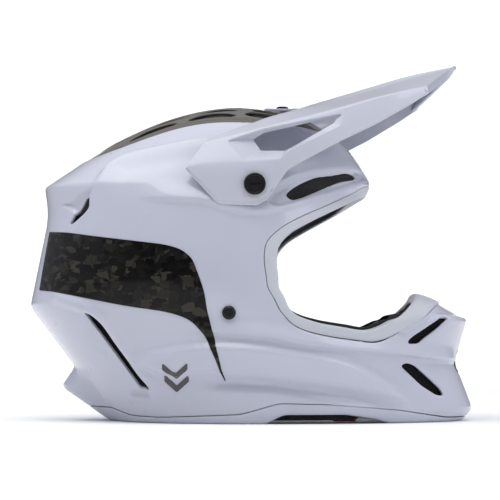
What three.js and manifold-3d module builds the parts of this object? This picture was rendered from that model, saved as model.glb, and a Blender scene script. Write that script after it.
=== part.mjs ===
// Motocross helmet: composite shell, eyeport trim, crown vent, foam and fabric liners,
// adjustable visor and double D-ring chin strap.
// Millimetres. +X is forward, +Y the rider's left, +Z up. The helmet stands on z = 0.
import * as THREE from "three";
import { mergeVertices } from "three/addons/utils/BufferGeometryUtils.js";
import Module from "manifold-3d";

const wasm = await Module();
wasm.setup();

// ---------- driving dimensions ----------
const WALL = 3.0; // composite shell wall
const GAP = 0.4; // clearance between neighbouring pieces
const TEMPLE = 199; // height of the temple line, where the crown starts
const CROWN = 304.5; // length up the wall from the base to the crown's top
const COLUMNS = 28; // facets round the shell
const HEAD = { x: -38, half_x: 98, half_y: 77, top: 230, mid: 132 }; // space for the head
const FACE = { half_x: 186, half_y: 66 }; // plan ellipse of the face, on the head's centre
const COMFORT = 8; // thickness of the fabric liner
const SLIP = 1.2; // thickness of the low-friction layer
const FOAM_INSET = 5.2; // foam starts this far inside the outer surface
const PIVOT = { x: 4, z: 196 }; // visor screws, on a line along Y
const PLATE_Y = 122.5; // outer face of the visor's side plates
const VISOR_WALL = 2.4;
const SCREW = { head: 9, shaft: 3, hole: 3.5 }; // radii
const RIVET = { x: -17, z: 91, y: 125.9, head: 5.6, shaft: 2.4 };
const STRAP = { x: -17, width: 22, thick: 1.6, y: 97.9 };
const RING = { wire: 1.5, half: 14, side: 8, arc: 8, y: 31, low: 10.2, high: 14.4 };
const NUDGE = -0.165; // moves the model so that its origin is the middle of its box

// ---------- the outer surface ----------
// A polyline of [at, value, corner radius] as a smooth function.
function rounded(points) {
  const slope = points.slice(1).map((p, i) => (p[1] - points[i][1]) / (p[0] - points[i][0]));
  const ramp = (t, r) => {
    if (t > r) return t;
    const s = Math.max(0, (t + r) / (2 * r));
    return 2 * r * (s ** 3 - s ** 4 / 2);
  };
  return (at) => {
    let out = points[0][1] + slope[0] * (at - points[0][0]);
    for (let i = 1; i < slope.length; i++) {
      out += (slope[i] - slope[i - 1]) * ramp(at - points[i][0], points[i][2]);
    }
    return out;
  };
}

// Centre profiles at the rear and the front, and the widest line at the side, against the length v.
const rearX = rounded([
  [0, -116.5, 0], [97, -189.5, 7], [174.5, -173.5, 17], [TEMPLE, -177, 3],
  [239.5, -123.5, 19], [269, -72.5, 17], [287.5, -36, 15], [CROWN, -10, 0],
]);
const rearZ = rounded([
  [0, 0, 0], [TEMPLE, 198.5, 3], [239.5, 234.5, 19], [269, 258, 17], [287.5, 267, 15], [CROWN, 270, 0],
]);
const frontX = rounded([
  [-21, 159.5, 0], [9.5, 190, 6], [49.5, 175, 8], [87, 185.5, 4], [103, 159.5, 8], [111.5, 130, 6],
  [188, 96, 7], [202.5, 103, 6], [233, 87.5, 15], [262.5, 62, 15], [285.5, 27, 13], [CROWN, -10, 0],
]);
const frontZ = rounded([
  [0, 0, 0], [TEMPLE, TEMPLE, 8], [233, 228, 15], [262.5, 252.5, 15], [285.5, 264, 13], [CROWN, 270, 0],
]);
const sideW = rounded([
  [0, 108, 0], [63, 123, 26], [136.5, 127, 42], [TEMPLE, 114.5, 32], [236, 92.5, 21], [268, 60, 21],
  [289, 28.5, 16], [CROWN, 0, 0],
]);
const sideZ = rounded([
  [0, 0, 0], [TEMPLE, TEMPLE, 15], [236, 231, 21], [268, 256, 21], [289, 266, 16], [CROWN, 270, 0],
]);
const sideX = rounded([[0, 5, 0], [63, -5, 32], [136.5, -29.5, 42], [210, -31.5, 32], [CROWN, -10, 0]]);
const rearRound = rounded([[0, 2.1, 0], [94.5, 2.15, 32], [TEMPLE, 2.3, 32], [CROWN, 2, 0]]);
const frontRound = rounded([[0, 2, 0], [73.5, 1.95, 32], [136.5, 2.2, 32], [TEMPLE, 2.5, 32], [CROWN, 2, 0]]);
// The neck fin stands out from the lower rear of the shell, and fades out to the sides.
const finOut = rounded([[-10, 2, 0], [0, -4.5, 3], [27, -23, 1.5], [31, -21.5, 1.5], [46, 0, 4], [70, 0, 0]]);
const FIN = { top: 60, full_angle: 9, end_angle: 22 };
function fin(angle, v) {
  const turned = THREE.MathUtils.euclideanModulo(angle, 360);
  const away = Math.min(turned, 360 - turned);
  return v < FIN.top ? finOut(v) * (1 - THREE.MathUtils.smoothstep(away, FIN.full_angle, FIN.end_angle)) : 0;
}

// A point of the surface: angle 0 at the rear, 180 at the front, on the +Y side below 180.
// pull moves the walls in towards the axis without changing their height, and leaves the fin out.
function surface(angle, v, pull = 0) {
  const phi = THREE.MathUtils.degToRad(angle);
  const c = Math.cos(phi);
  const s = Math.sin(phi);
  const rear = c >= 0;
  const n = rear ? rearRound(v) : frontRound(v);
  const k = (Math.abs(c) ** n + Math.abs(s) ** n) ** (-1 / n);
  const along = Math.abs(c) * k;
  const end = rear ? rearX(v) + (pull || fin(angle, v)) : frontX(v) - pull;
  const middle = sideX(v);
  const height = rear ? rearZ(v) : frontZ(v);
  return new THREE.Vector3(
    middle + (end - middle) * along,
    (sideW(v) - pull) * s * k,
    sideZ(v) + (height - sideZ(v)) * along ** 2,
  );
}

function normal(angle, v) {
  const step = 0.4;
  const across = surface(angle + step, v).sub(surface(angle - step, v));
  const up = surface(angle, v + step).sub(surface(angle, v - step));
  return up.cross(across).normalize();
}

const inside = (angle, v, inset) => surface(angle, v).addScaledVector(normal(angle, v), -inset);

// ---------- solids ----------
function solid(geometry) {
  const bare = geometry.index ? geometry.toNonIndexed() : geometry.clone();
  bare.deleteAttribute("normal");
  bare.deleteAttribute("uv");
  const merged = mergeVertices(bare, 1e-4);
  const mesh = new wasm.Mesh({
    numProp: 3,
    vertProperties: merged.attributes.position.array,
    triVerts: new Uint32Array(merged.index.array),
  });
  return new wasm.Manifold(mesh);
}

function geometryOf(body) {
  const mesh = body.getMesh();
  const geometry = new THREE.BufferGeometry();
  geometry.setAttribute("position", new THREE.BufferAttribute(new Float32Array(mesh.vertProperties), 3));
  geometry.setIndex(new THREE.BufferAttribute(new Uint32Array(mesh.triVerts), 1));
  return geometry;
}

// Points and triangles to a geometry, turned so that it faces out.
function shellOf(points, triangles) {
  let volume = 0;
  for (const [a, b, c] of triangles) {
    volume += points[a].dot(points[b].clone().cross(points[c]));
  }
  const ordered = volume < 0 ? triangles.map(([a, b, c]) => [a, c, b]) : triangles;
  const geometry = new THREE.BufferGeometry().setFromPoints(points);
  geometry.setIndex(ordered.flat());
  return geometry;
}

// Rings of equal length, closed at both ends by fans to the first and last point.
function ringed(first, rings, last) {
  const points = [first, ...rings.flat(), last];
  const n = rings[0].length;
  const triangles = [];
  for (let j = 0; j < n; j++) {
    const k = (j + 1) % n;
    triangles.push([0, 1 + k, 1 + j]);
    for (let i = 0; i + 1 < rings.length; i++) {
      const a = 1 + i * n;
      triangles.push([a + j, a + k, a + n + k], [a + j, a + n + k, a + n + j]);
    }
    const z = 1 + (rings.length - 1) * n;
    triangles.push([points.length - 1, z + j, z + k]);
  }
  return solid(shellOf(points, triangles));
}

const ROWS = [
  4, 10, 29, 49.5, 68, 84, 92, 103, 111.5, 130, 160, 184, 196, 204,
  216, 230, 244, 258, 272, 285, 296,
];
const ANGLES = Array.from({ length: COLUMNS }, (_, i) => (i * 360) / COLUMNS);

// The whole form, inset along its normals.
function form(inset, from = 0) {
  const rings = [from, ...ROWS].map((v) => ANGLES.map((a) => inside(a, v, inset)));
  const middle = new THREE.Vector3(0, 0, rings[0][0].z);
  rings[0].forEach((p) => (p.z = middle.z));
  return ringed(middle, rings, new THREE.Vector3(-10, 0, 270 - inset));
}

// The same form with its walls pulled in level, for deep insets.
function pulled(pull, from = 0) {
  const rows = [from, ...ROWS.filter((v) => v < 240)];
  const rings = rows.map((v) => ANGLES.map((a) => surface(a, v, pull)));
  return ringed(new THREE.Vector3(0, 0, from), rings, new THREE.Vector3(-10, 0, 236));
}

// A prism of an outline of [x, z] points, along Y.
function sideways(outline, low = -150, high = 150) {
  const shape = new THREE.Shape(outline.map(([x, z]) => new THREE.Vector2(x, z)));
  const geometry = new THREE.ExtrudeGeometry(shape, { depth: high - low, bevelEnabled: false });
  geometry.rotateX(Math.PI / 2);
  geometry.translate(0, high, 0);
  return solid(geometry);
}

// A prism of an outline of [x, y] points, along Z.
function upright(outline, low, high) {
  const shape = new THREE.Shape(outline.map(([x, y]) => new THREE.Vector2(x, y)));
  const geometry = new THREE.ExtrudeGeometry(shape, { depth: high - low, bevelEnabled: false });
  geometry.translate(0, 0, low);
  return solid(geometry);
}

// A closed curve through points of the surface map, [angle, v], with count points.
function smooth(outline, count) {
  const curve = new THREE.CatmullRomCurve3(outline.map(([a, v]) => new THREE.Vector3(a, v, 0)), true);
  return curve.getSpacedPoints(count).slice(0, count).map((p) => [p.x, p.y]);
}

// The outline moved out by grow millimetres on the surface, taking 2 mm to a degree.
function grown(outline, grow) {
  const n = outline.length;
  const area = outline.reduce((sum, [a, v], i) => {
    const [b, w] = outline[(i + 1) % n];
    return sum + a * w - b * v;
  }, 0);
  return outline.map(([a, v], i) => {
    const [a0, v0] = outline[(i + n - 1) % n];
    const [a1, v1] = outline[(i + 1) % n];
    const side = new THREE.Vector2(v1 - v0, -(a1 - a0) * 2).normalize();
    const turn = area > 0 ? grow : -grow;
    return [a + (side.x * turn) / 2, v + side.y * turn];
  });
}

// The solid through the wall over an outline of the surface map, between two insets.
function wedge(outline, outer, inner) {
  const n = outline.length;
  const a = outline.reduce((sum, p) => sum + p[0], 0) / n;
  const v = outline.reduce((sum, p) => sum + p[1], 0) / n;
  const ring = (inset) => outline.map((p) => inside(p[0], p[1], inset));
  return ringed(inside(a, v, outer), [ring(outer), ring(inner)], inside(a, v, inner));
}

// The face opening reaches round the front, so its solid is a cone from outside to the middle.
function faceWedge(outline) {
  const ring = (inset) => outline.map((p) => inside(p[0], p[1], inset));
  const front = new THREE.Vector3(330, 0, 150);
  const middle = new THREE.Vector3(20, 0, 138);
  return ringed(front, [ring(-70), ring(-1), ring(16), ring(44)], middle);
}

// An upright dome round the head, grown by out millimetres, from a floor height.
function dome(out, floor) {
  const levels = 6;
  const count = 24;
  const ring = (scale, z) =>
    Array.from({ length: count }, (_, i) => {
      const t = (i * 2 * Math.PI) / count;
      const x = Math.sign(Math.cos(t)) * Math.abs(Math.cos(t)) ** 0.92 * (HEAD.half_x + out);
      const y = Math.sign(Math.sin(t)) * Math.abs(Math.sin(t)) ** 0.92 * (HEAD.half_y + out);
      return new THREE.Vector3(HEAD.x + x * scale, y * scale, z);
    });
  const rings = [ring(1, floor)];
  for (let i = 0; i < levels; i++) {
    const t = (i / levels) * (Math.PI / 2);
    rings.push(ring(Math.cos(t) ** 0.9, HEAD.mid + (HEAD.top + out - HEAD.mid) * Math.sin(t)));
  }
  return ringed(
    new THREE.Vector3(HEAD.x, 0, floor),
    rings,
    new THREE.Vector3(HEAD.x, 0, HEAD.top + out),
  );
}

function facePrism(out, low, high) {
  const outline = Array.from({ length: 40 }, (_, i) => {
    const t = (i * Math.PI) / 20;
    return [HEAD.x + Math.cos(t) * (FACE.half_x + out), Math.sin(t) * (FACE.half_y + out)];
  });
  return upright(outline, low, high);
}

function cylinderY(radius, low, high, x, z, sides = 20) {
  const geometry = new THREE.CylinderGeometry(radius, radius, high - low, sides);
  geometry.translate(x, (low + high) / 2, z);
  return solid(geometry);
}

function mirrored(body) {
  return body.mirror([0, 1, 0]);
}

// An open surface of points and triangles, given a thickness on its lower side.
function thicken(points, triangles, thickness) {
  const normals = points.map(() => new THREE.Vector3());
  for (const t of triangles) {
    const [a, b, c] = t.map((i) => points[i]);
    const n = b.clone().sub(a).cross(c.clone().sub(a)).normalize();
    t.forEach((i) => normals[i].add(n));
  }
  const n = points.length;
  const under = points.map((p, i) => p.clone().addScaledVector(normals[i].normalize(), -thickness));
  const used = new Map();
  for (const [a, b, c] of triangles) {
    for (const [i, j] of [[a, b], [b, c], [c, a]]) used.set(i + "," + j, [i, j]);
  }
  const walls = [];
  for (const [i, j] of used.values()) {
    if (!used.has(j + "," + i)) walls.push([j, i, i + n], [j, i + n, j + n]);
  }
  const below = triangles.map(([a, b, c]) => [a + n, c + n, b + n]);
  return solid(shellOf([...points, ...under], [...triangles, ...below, ...walls]));
}

// ---------- outlines on the surface map, [angle, v] on the +Y side ----------
const EYE_SEAM = [
  [160, 198.5], [148, 190.5], [133, 180], [120, 169], [112, 159], [107, 148], [105, 134], [104, 118],
  [102.5, 104], [102, 91], [103.5, 82], [107, 76], [113, 71.5], [120, 68.5], [126, 67], [131, 71],
  [137, 80], [146, 90], [163, 99],
];
const EYE_INNER = [
  [164, 189], [149, 184], [136, 176], [125, 166.5], [116, 156], [111, 145], [109, 132], [108, 119],
  [107, 106], [106, 95], [107.5, 88], [112, 82.5], [118, 78.5], [123, 76.5], [127, 79], [132, 86],
  [139, 93.5], [148, 101], [164, 107.5],
];
const BROW_VENT = [
  [117.5, 188.5], [119, 185], [122, 186], [128, 190.5], [141, 200], [150, 205.5], [154.5, 210],
  [147, 211.5], [137, 209], [127, 205], [121, 197],
];
const CHIN_UPPER = [[137.5, 66], [139, 70.5], [151, 88], [156, 88.5], [151.5, 80.5], [142, 66]];
const CHIN_LOWER = [[136, 47.5], [138.5, 49.5], [142, 47], [151, 27.5], [151.5, 22.5], [147.5, 23], [142, 31]];
const REAR_SLOT = [
  [45.5, 91.5], [47.5, 90.5], [49.5, 82], [50, 66], [52, 44], [53.5, 27.5], [50, 28], [48.5, 45], [46.8, 70],
];
const REAR_EXHAUST = [[46.5, 187], [46, 180], [43, 172.5], [37.5, 165.5], [39, 172], [42.5, 180], [45, 186.5]];
const MOUTH_VENT = [[169, 50], [172, 42], [180, 40], [188, 42], [191, 50], [188, 59], [180, 62], [172, 59]];

const bothSides = (half) => [...half, ...half.map(([a, v]) => [360 - a, v]).reverse()];
const flipped = (outline) => outline.map(([a, v]) => [360 - a, v]);
const eyeSeam = smooth(bothSides(EYE_SEAM), 48);
const eyeInner = smooth(bothSides(EYE_INNER), 48);

// Plan outline of the crown vent, half-width against x.
const CROWN_HALF = [
  [-148, 14], [-139, 33], [-128, 47], [-112, 57], [-96, 62], [-60, 64], [0, 63.5], [24, 59], [42, 51], [58, 41], [68, 26],
];
function crownOutline(shrink) {
  const half = CROWN_HALF.map(([x, w], i) => {
    const move = i === 0 ? shrink : i === CROWN_HALF.length - 1 ? -shrink : 0;
    return [x + move, w - shrink];
  });
  return [...half.map(([x, w]) => [x, -w]), ...half.map(([x, w]) => [x, w]).reverse()];
}

// ---------- assembly ----------
const group = new THREE.Group();
function material(color, roughness, metalness = 0) {
  return new THREE.MeshStandardMaterial({ color, roughness, metalness });
}
const PAINT = material(0xe4e6f0, 0.16);
const TRIM = material(0xd9dbe6, 0.35);
const SMOKE = material(0x8f8577, 0.25);
const BLACK = material(0x17181a, 0.55);
const FOAM = material(0x2a2b2e, 0.9);
const FABRIC = material(0x3a3c42, 0.95);
const YELLOW = material(0xd8c84a, 0.5);
const RED = material(0x9c1f22, 0.8);
const STEEL = material(0xb9bcc2, 0.25, 1);

function add(name, body, finish) {
  const mesh = new THREE.Mesh(geometryOf(body), finish);
  mesh.name = name;
  mesh.position.x = NUDGE;
  group.add(mesh);
}
function pair(name, left, finish) {
  add(name + "_left", left, finish);
  add(name + "_right", mirrored(left), finish);
}

const below = form(WALL, -12);
const eyeCut = faceWedge(eyeSeam);
const vents = [BROW_VENT, CHIN_UPPER, CHIN_LOWER, REAR_SLOT, REAR_EXHAUST].map((v) => smooth(v, 11));
const mouth = smooth(MOUTH_VENT, 12);

// Lower edge of the shell, side view.
const EDGE = [[-118, 12], [-100, 6], [-76, 5], [-8, 8], [24, 17], [65, 16], [124, 11], [165, 4]];
function belowEdge(drop) {
  const line = [[-210, 14], ...EDGE, [210, 3]].map(([x, z]) => [x, z - drop]);
  return sideways([[-210, 0], [210, 0], ...line.reverse()]);
}

function outerShell() {
  let body = form(0).subtract(below).subtract(eyeCut).subtract(sideways([
    [-210, -20], [210, -20], [210, 3], ...[...EDGE].reverse(), [-210, 14],
  ]));
  for (const outline of vents) {
    body = body.subtract(wedge(outline, -9, 12)).subtract(wedge(flipped(outline), -9, 12));
  }
  body = body.subtract(wedge(mouth, -9, 12)).subtract(upright(crownOutline(0), 190, 300));
  for (const side of [-1, 1]) {
    const reach = [side * 100, side * 140].sort((a, b) => a - b);
    body = body
      .subtract(cylinderY(SCREW.hole, ...reach, PIVOT.x, PIVOT.z, 12))
      .subtract(cylinderY(RIVET.shaft + GAP, ...reach, RIVET.x, RIVET.z, 12));
  }
  return body;
}
add("outer_shell", outerShell(), PAINT);

const TRIM_DEPTH = 8;
const trimRing = form(0.6).subtract(pulled(TRIM_DEPTH, -5)).intersect(faceWedge(grown(eyeSeam, -GAP)));
add("eyeport_trim", trimRing.subtract(faceWedge(eyeInner)), TRIM);

function neckTrim() {
  const ARCH = [[8, -2], [28, 7.5], [78, 7.5], [103, 4], [125, -2]];
  return form(0.6, -10).subtract(form(8, -12)).intersect(belowEdge(GAP)).subtract(sideways(ARCH));
}
add("neck_trim", neckTrim(), TRIM);

// Crown vent: a smoked insert with long slots and a slot for the visor's middle screw.
const MIDDLE_SCREW_X = 27;
function crownInsert() {
  let body = form(0.9).subtract(form(WALL + 0.2)).intersect(upright(crownOutline(GAP), 190, 300));
  const SLOTS = [
    [-124, -98, 12], [-118, -94, 30], [-84, -52, 12], [-84, -52, 30], [-100, -62, 48],
    [-40, -8, 12], [-40, -10, 30], [-50, -12, 48], [4, 48, 26], [-2, 34, 44],
  ];
  for (const [from, to, y] of SLOTS) {
    for (const side of [-1, 1]) {
      const w = 3.2;
      const outline = [
        [from, side * y - w], [to - 5, side * y - w], [to, side * y], [to - 5, side * y + w], [from, side * y + w],
      ];
      body = body.subtract(upright(outline, 190, 300));
    }
  }
  const reach = 13;
  return body.subtract(upright([
    [MIDDLE_SCREW_X - reach, -3.2], [MIDDLE_SCREW_X + reach, -3.2],
    [MIDDLE_SCREW_X + reach, 3.2], [MIDDLE_SCREW_X - reach, 3.2],
  ], 190, 300));
}
add("crown_vent_insert", crownInsert(), SMOKE);

const VENT_NAMES = [
  "brow_vent_mesh", "chin_vent_upper_mesh", "chin_vent_lower_mesh", "rear_slot_mesh", "rear_exhaust_mesh",
];
const backing = form(WALL + 0.5).subtract(form(WALL + 1.8));
VENT_NAMES.forEach((name, i) => {
  pair(name, backing.intersect(wedge(grown(vents[i], 2), -4, 12)), BLACK);
});
add("mouth_vent_grille", backing.intersect(wedge(grown(mouth, 2.5), -4, 12)), BLACK);
add("mouth_vent_filter", form(FOAM_INSET).subtract(pulled(10, -5)).intersect(wedge(mouth, -4, 20)), FOAM);

// ---------- liners ----------
const HEAD_FLOOR = 100; // bottom of the crown foam
const foamCut = faceWedge(grown(eyeSeam, 2));
const slipIn = COMFORT + 0.5;
const foamIn = slipIn + SLIP + 0.5;
const FRAME = 300; // larger than the helmet

function above(z) {
  return upright([[-FRAME, -FRAME], [FRAME, -FRAME], [FRAME, FRAME], [-FRAME, FRAME]], z, FRAME);
}
function crownFoam() {
  let body = form(FOAM_INSET).subtract(dome(foamIn, 40)).subtract(foamCut).intersect(above(HEAD_FLOOR));
  const browTrim = upright([[84, -70], [FRAME, -70], [FRAME, 70], [84, 70]], 0, 204);
  body = body.subtract(browTrim);
  const slot = 14;
  const outline = [
    [MIDDLE_SCREW_X - slot, -4], [MIDDLE_SCREW_X + slot, -4], [MIDDLE_SCREW_X + slot, 4], [MIDDLE_SCREW_X - slot, 4],
  ];
  body = body.subtract(upright(outline, 248, 300));
  return body.decompose().sort((a, b) => b.volume() - a.volume())[0];
}
add("eps_liner", crownFoam(), FOAM);
function layer(outer, inner, floor) {
  const body = dome(outer, floor).subtract(dome(inner, floor - 20)).subtract(foamCut);
  return body.decompose().sort((a, b) => b.volume() - a.volume())[0];
}
add("slip_liner", layer(slipIn + SLIP, slipIn, HEAD_FLOOR + 12), YELLOW);
add("comfort_liner", layer(COMFORT, 0, HEAD_FLOOR + 6), FABRIC);

// Cheek pads snap to foam blocks, and slide in off them when pulled.
const CHEEK = [[-52, 20], [-52, 84], [0, 84], [14, 80], [24, 64], [52, 58], [84, 54], [88, 20]];
const PAD_OUT = 96.2;
const PAD_SKIRT = [[92, 3.7], [10, 3.7], [3, 20]]; // the pad's front part hangs lower than its foam block
function cheekPad() {
  return sideways([...CHEEK, ...PAD_SKIRT], 30, PAD_OUT).subtract(facePrism(0, 0, 120)).intersect(pulled(12, -5));
}
function cheekBlock() {
  const foot = CHEEK.map(([x, z]) => [x, z === 20 ? 18.5 : z]);
  return sideways(foot, 99.6, 140).intersect(form(FOAM_INSET, -5));
}
pair("cheek_pad", cheekPad(), FABRIC);
pair("cheek_foam_block", cheekBlock(), FOAM);
const TAB = { x: 78, y: 74, low: 1.3, high: 3.4 };
function releaseTab() {
  const outline = [[TAB.x - 11, TAB.high], [TAB.x + 11, TAB.high], [TAB.x + 9, TAB.low], [TAB.x - 9, TAB.low]];
  return sideways(outline, TAB.y, TAB.y + 2);
}
pair("cheek_release_tab", releaseTab(), RED);

function neckRoll() {
  const block = upright([[-170, -95], [-72, -95], [-72, 95], [-170, 95]], 24, 92);
  const neck = dome(3, 0);
  const body = block.intersect(pulled(12, -5)).subtract(neck);
  return body.decompose().sort((a, b) => b.volume() - a.volume())[0];
}
add("neck_roll", neckRoll(), FABRIC);

function chinFoam() {
  const SIDE = [[93, 20], [93, 50], [112, 52], [134, 62], [150, 76], [168, 88], [200, 96], [200, 14], [130, 18]];
  const slab = sideways(SIDE).intersect(pulled(10.6, -5)).subtract(facePrism(0, 0, 120)).subtract(foamCut);
  const body = slab.subtract(wedge(mouth, -4, 60));
  return body.decompose().sort((a, b) => b.volume() - a.volume())[0];
}
add("chin_foam", chinFoam(), FOAM);

// ---------- chin strap ----------
function ribbon(points, width, thick) {
  const curve = new THREE.CatmullRomCurve3(points.map(([y, z]) => new THREE.Vector3(y, z, 0)), false, "centripetal");
  const steps = points.length * 2;
  const outline = [];
  const other = [];
  for (let i = 0; i <= steps; i++) {
    const p = curve.getPoint(i / steps);
    const t = curve.getTangent(i / steps);
    outline.push(new THREE.Vector2(p.x - (t.y * thick) / 2, p.y + (t.x * thick) / 2));
    other.push(new THREE.Vector2(p.x + (t.y * thick) / 2, p.y - (t.x * thick) / 2));
  }
  const shape = new THREE.Shape([...outline, ...other.reverse()]);
  const geometry = new THREE.ExtrudeGeometry(shape, { depth: width, bevelEnabled: false });
  // The shape's plane is YZ and its depth runs along X.
  const turn = new THREE.Matrix4().set(0, 0, 1, STRAP.x - width / 2, 1, 0, 0, 0, 0, 1, 0, 0, 0, 0, 0, 1);
  geometry.applyMatrix4(turn);
  return solid(geometry);
}
// [y, z] routes. The left strap ends in a loop round the rings' bars, the right one threads the rings.
const DOWN = [[STRAP.y, 84], [STRAP.y, 60], [STRAP.y, 34], [STRAP.y, 22], [97.2, 17.6], [92, 12.6], [78, 9.4]];
const LEFT_ROUTE = [
  ...DOWN, [56, 8], [40, 7], [31, 5.8], [26.6, 8], [25.8, 12.5], [27.2, 17.4], [31, 18.8], [38, 17.6],
  [50, 12.6], [60, 11.6],
];
const RIGHT_ROUTE = [
  ...DOWN.map(([y, z]) => [-y, z]), [-40, 6.4], [0, 5], [14, 4.8], [20, 6.2], [22.2, 12], [20.2, 19.4],
  [14, 21.6], [0, 20.4], [-14, 12.4], [-30, 9.2],
];
add("chin_strap_left", ribbon(LEFT_ROUTE, STRAP.width, STRAP.thick), BLACK);
add("chin_strap_right", ribbon(RIGHT_ROUTE, STRAP.width, STRAP.thick), BLACK);

// A D-ring lies flat: a straight bar along X, two short sides and a bow towards the right strap.
function dRing(z) {
  const bow = Array.from({ length: 9 }, (_, i) => {
    const t = (i * Math.PI) / 8;
    return [RING.half * Math.cos(t), -RING.side - RING.arc * Math.sin(t)];
  });
  const corners = [[-RING.half + 3, 0], [0, 0], [RING.half - 3, 0], [RING.half, -3], ...bow, [-RING.half, -3]];
  const path = new THREE.CatmullRomCurve3(
    corners.map(([x, y]) => new THREE.Vector3(STRAP.x + x, RING.y + y, z)), true, "centripetal",
  );
  const section = new THREE.Shape().absarc(0, 0, RING.wire, 0, 2 * Math.PI);
  return solid(new THREE.ExtrudeGeometry(section, { steps: 28, extrudePath: path, curveSegments: 3 }));
}
add("d_ring_lower", dRing(RING.low), STEEL);
add("d_ring_upper", dRing(RING.high), STEEL);

// Rivets hold the straps' anchor plates to the shell.
function rivet() {
  return cylinderY(RIVET.head, RIVET.y, RIVET.y + 1.5, RIVET.x, RIVET.z)
    .add(cylinderY(RIVET.shaft, 100.4, RIVET.y + 0.2, RIVET.x, RIVET.z, 10));
}
function anchorPlate() {
  const outline = [[-28, 85], [-6, 85], [-8, 98], [-26, 98]];
  return sideways(outline, STRAP.y - 0.8, STRAP.y + 1.6).subtract(cylinderY(RIVET.shaft + GAP, 90, 104, RIVET.x, RIVET.z, 10));
}
pair("strap_rivet", rivet(), BLACK);
pair("strap_anchor", anchorPlate(), STEEL);

// ---------- visor ----------
// Lines from the rear to the front on the right side, as [x, y, z], y counted outwards.
const VISOR_LOW = [
  [-52, 120, 209], [-26, PLATE_Y, 180], [6, PLATE_Y, 179], [14, PLATE_Y - 0.5, 184], [31, 117, 209],
  [74, 106, 233], [104, 98, 248], [131, 89, 264], [148, 81, 275],
];
const VISOR_MID = [
  [-50, 119, 212], [-25, PLATE_Y, 211], [4, PLATE_Y, 211], [19, 120, 215], [36, 113.5, 228],
  [75, 102, 246], [104, 94.5, 258], [129.5, 86.5, 270], [147.6, 79.6, 277.4],
];
const VISOR_CREASE = [
  [-37, 109, 231], [-20, 109, 235], [5, 108, 241.5], [19, 106.5, 245], [41, 102, 251],
  [76, 96, 261], [104, 90, 269.5], [128, 83.5, 275.5], [147, 78, 280],
];
const VISOR_INNER = [
  [-34, 103, 234], [-19, 93, 241], [-2, 82, 248], [14, 70, 255], [36, 58, 261.5],
  [70, 46, 269.5], [98, 34, 279], [134, 20, 291.5], [171, 11, 301.5],
];
const VISOR_RIDGE = [[40, 20, 267.5], [74, 18, 276.5], [102, 15, 285], [136, 10, 295.5], [174.5, 5, 303.5]];
const VISOR_MIDDLE = [[41, 0, 268.5], [75, 0, 277.5], [103, 0, 286], [137, 0, 296.5], [177, 0, 304.5]];
const TONGUE_SIDE = [[14, 11, 269.9], [26, 15, 269.1]];
const TONGUE_MIDDLE = [[14, 0, 270.5], [26, 0, 269.8]];

function visorSheet() {
  const points = [];
  const rightSide = new Map();
  const place = (line, i, side) => {
    const key = [line[i], side * Math.sign(line[i][1])].join("/");
    if (!rightSide.has(key)) {
      rightSide.set(key, points.length);
      points.push(new THREE.Vector3(line[i][0], side * line[i][1], line[i][2]));
    }
    return rightSide.get(key);
  };
  const triangles = [];
  const strip = (outer, outerFrom, inner, innerFrom, count) => {
    for (const side of [-1, 1]) {
      for (let i = 0; i < count; i++) {
        const a = place(outer, outerFrom + i, side);
        const b = place(outer, outerFrom + i + 1, side);
        const c = place(inner, innerFrom + i + 1, side);
        const d = place(inner, innerFrom + i, side);
        if (side < 0) triangles.push([a, b, c], [a, c, d]);
        else triangles.push([a, c, b], [a, d, c]);
      }
    }
  };
  strip(VISOR_LOW, 0, VISOR_MID, 0, 8);
  strip(VISOR_MID, 0, VISOR_CREASE, 0, 8);
  strip(VISOR_CREASE, 0, VISOR_INNER, 0, 8);
  strip(VISOR_INNER, 4, VISOR_RIDGE, 0, 4);
  strip(VISOR_RIDGE, 0, VISOR_MIDDLE, 0, 4);
  strip(TONGUE_SIDE, 0, TONGUE_MIDDLE, 0, 1);
  strip([TONGUE_SIDE[1], VISOR_RIDGE[0]], 0, [TONGUE_MIDDLE[1], VISOR_MIDDLE[0]], 0, 1);
  return thicken(points, triangles, VISOR_WALL);
}
const WINDOW = [[4, 232], [4, 229], [12, 222], [27, 222], [71, 244], [75, 253], [22, 239]];
function visor() {
  const middle = new THREE.CylinderGeometry(2.9, 2.9, 20, 12).rotateX(Math.PI / 2);
  middle.translate(MIDDLE_SCREW_X, 0, 268);
  return visorSheet()
    .subtract(sideways(WINDOW, -150, -80))
    .subtract(sideways(WINDOW, 80, 150))
    .subtract(cylinderY(SCREW.hole, 100, 140, PIVOT.x, PIVOT.z, 12))
    .subtract(cylinderY(SCREW.hole, -140, -100, PIVOT.x, PIVOT.z, 12))
    .subtract(solid(middle));
}
add("visor", visor(), PAINT);

function sideScrew() {
  return cylinderY(SCREW.head, PLATE_Y + GAP, PLATE_Y + 3.4, PIVOT.x, PIVOT.z, 24)
    .add(cylinderY(SCREW.shaft, 109.4, PLATE_Y + 1, PIVOT.x, PIVOT.z, 12))
    .subtract(solid(new THREE.BoxGeometry(9, 1.4, 2).translate(PIVOT.x, PLATE_Y + 3.4, PIVOT.z)));
}
pair("visor_screw", sideScrew(), BLACK);
function grommet() {
  return cylinderY(7.5, 115.6, PLATE_Y - VISOR_WALL - 1.2, PIVOT.x, PIVOT.z, 18)
    .subtract(cylinderY(SCREW.hole, 110, 125, PIVOT.x, PIVOT.z, 12));
}
pair("visor_grommet", grommet(), BLACK);

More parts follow.
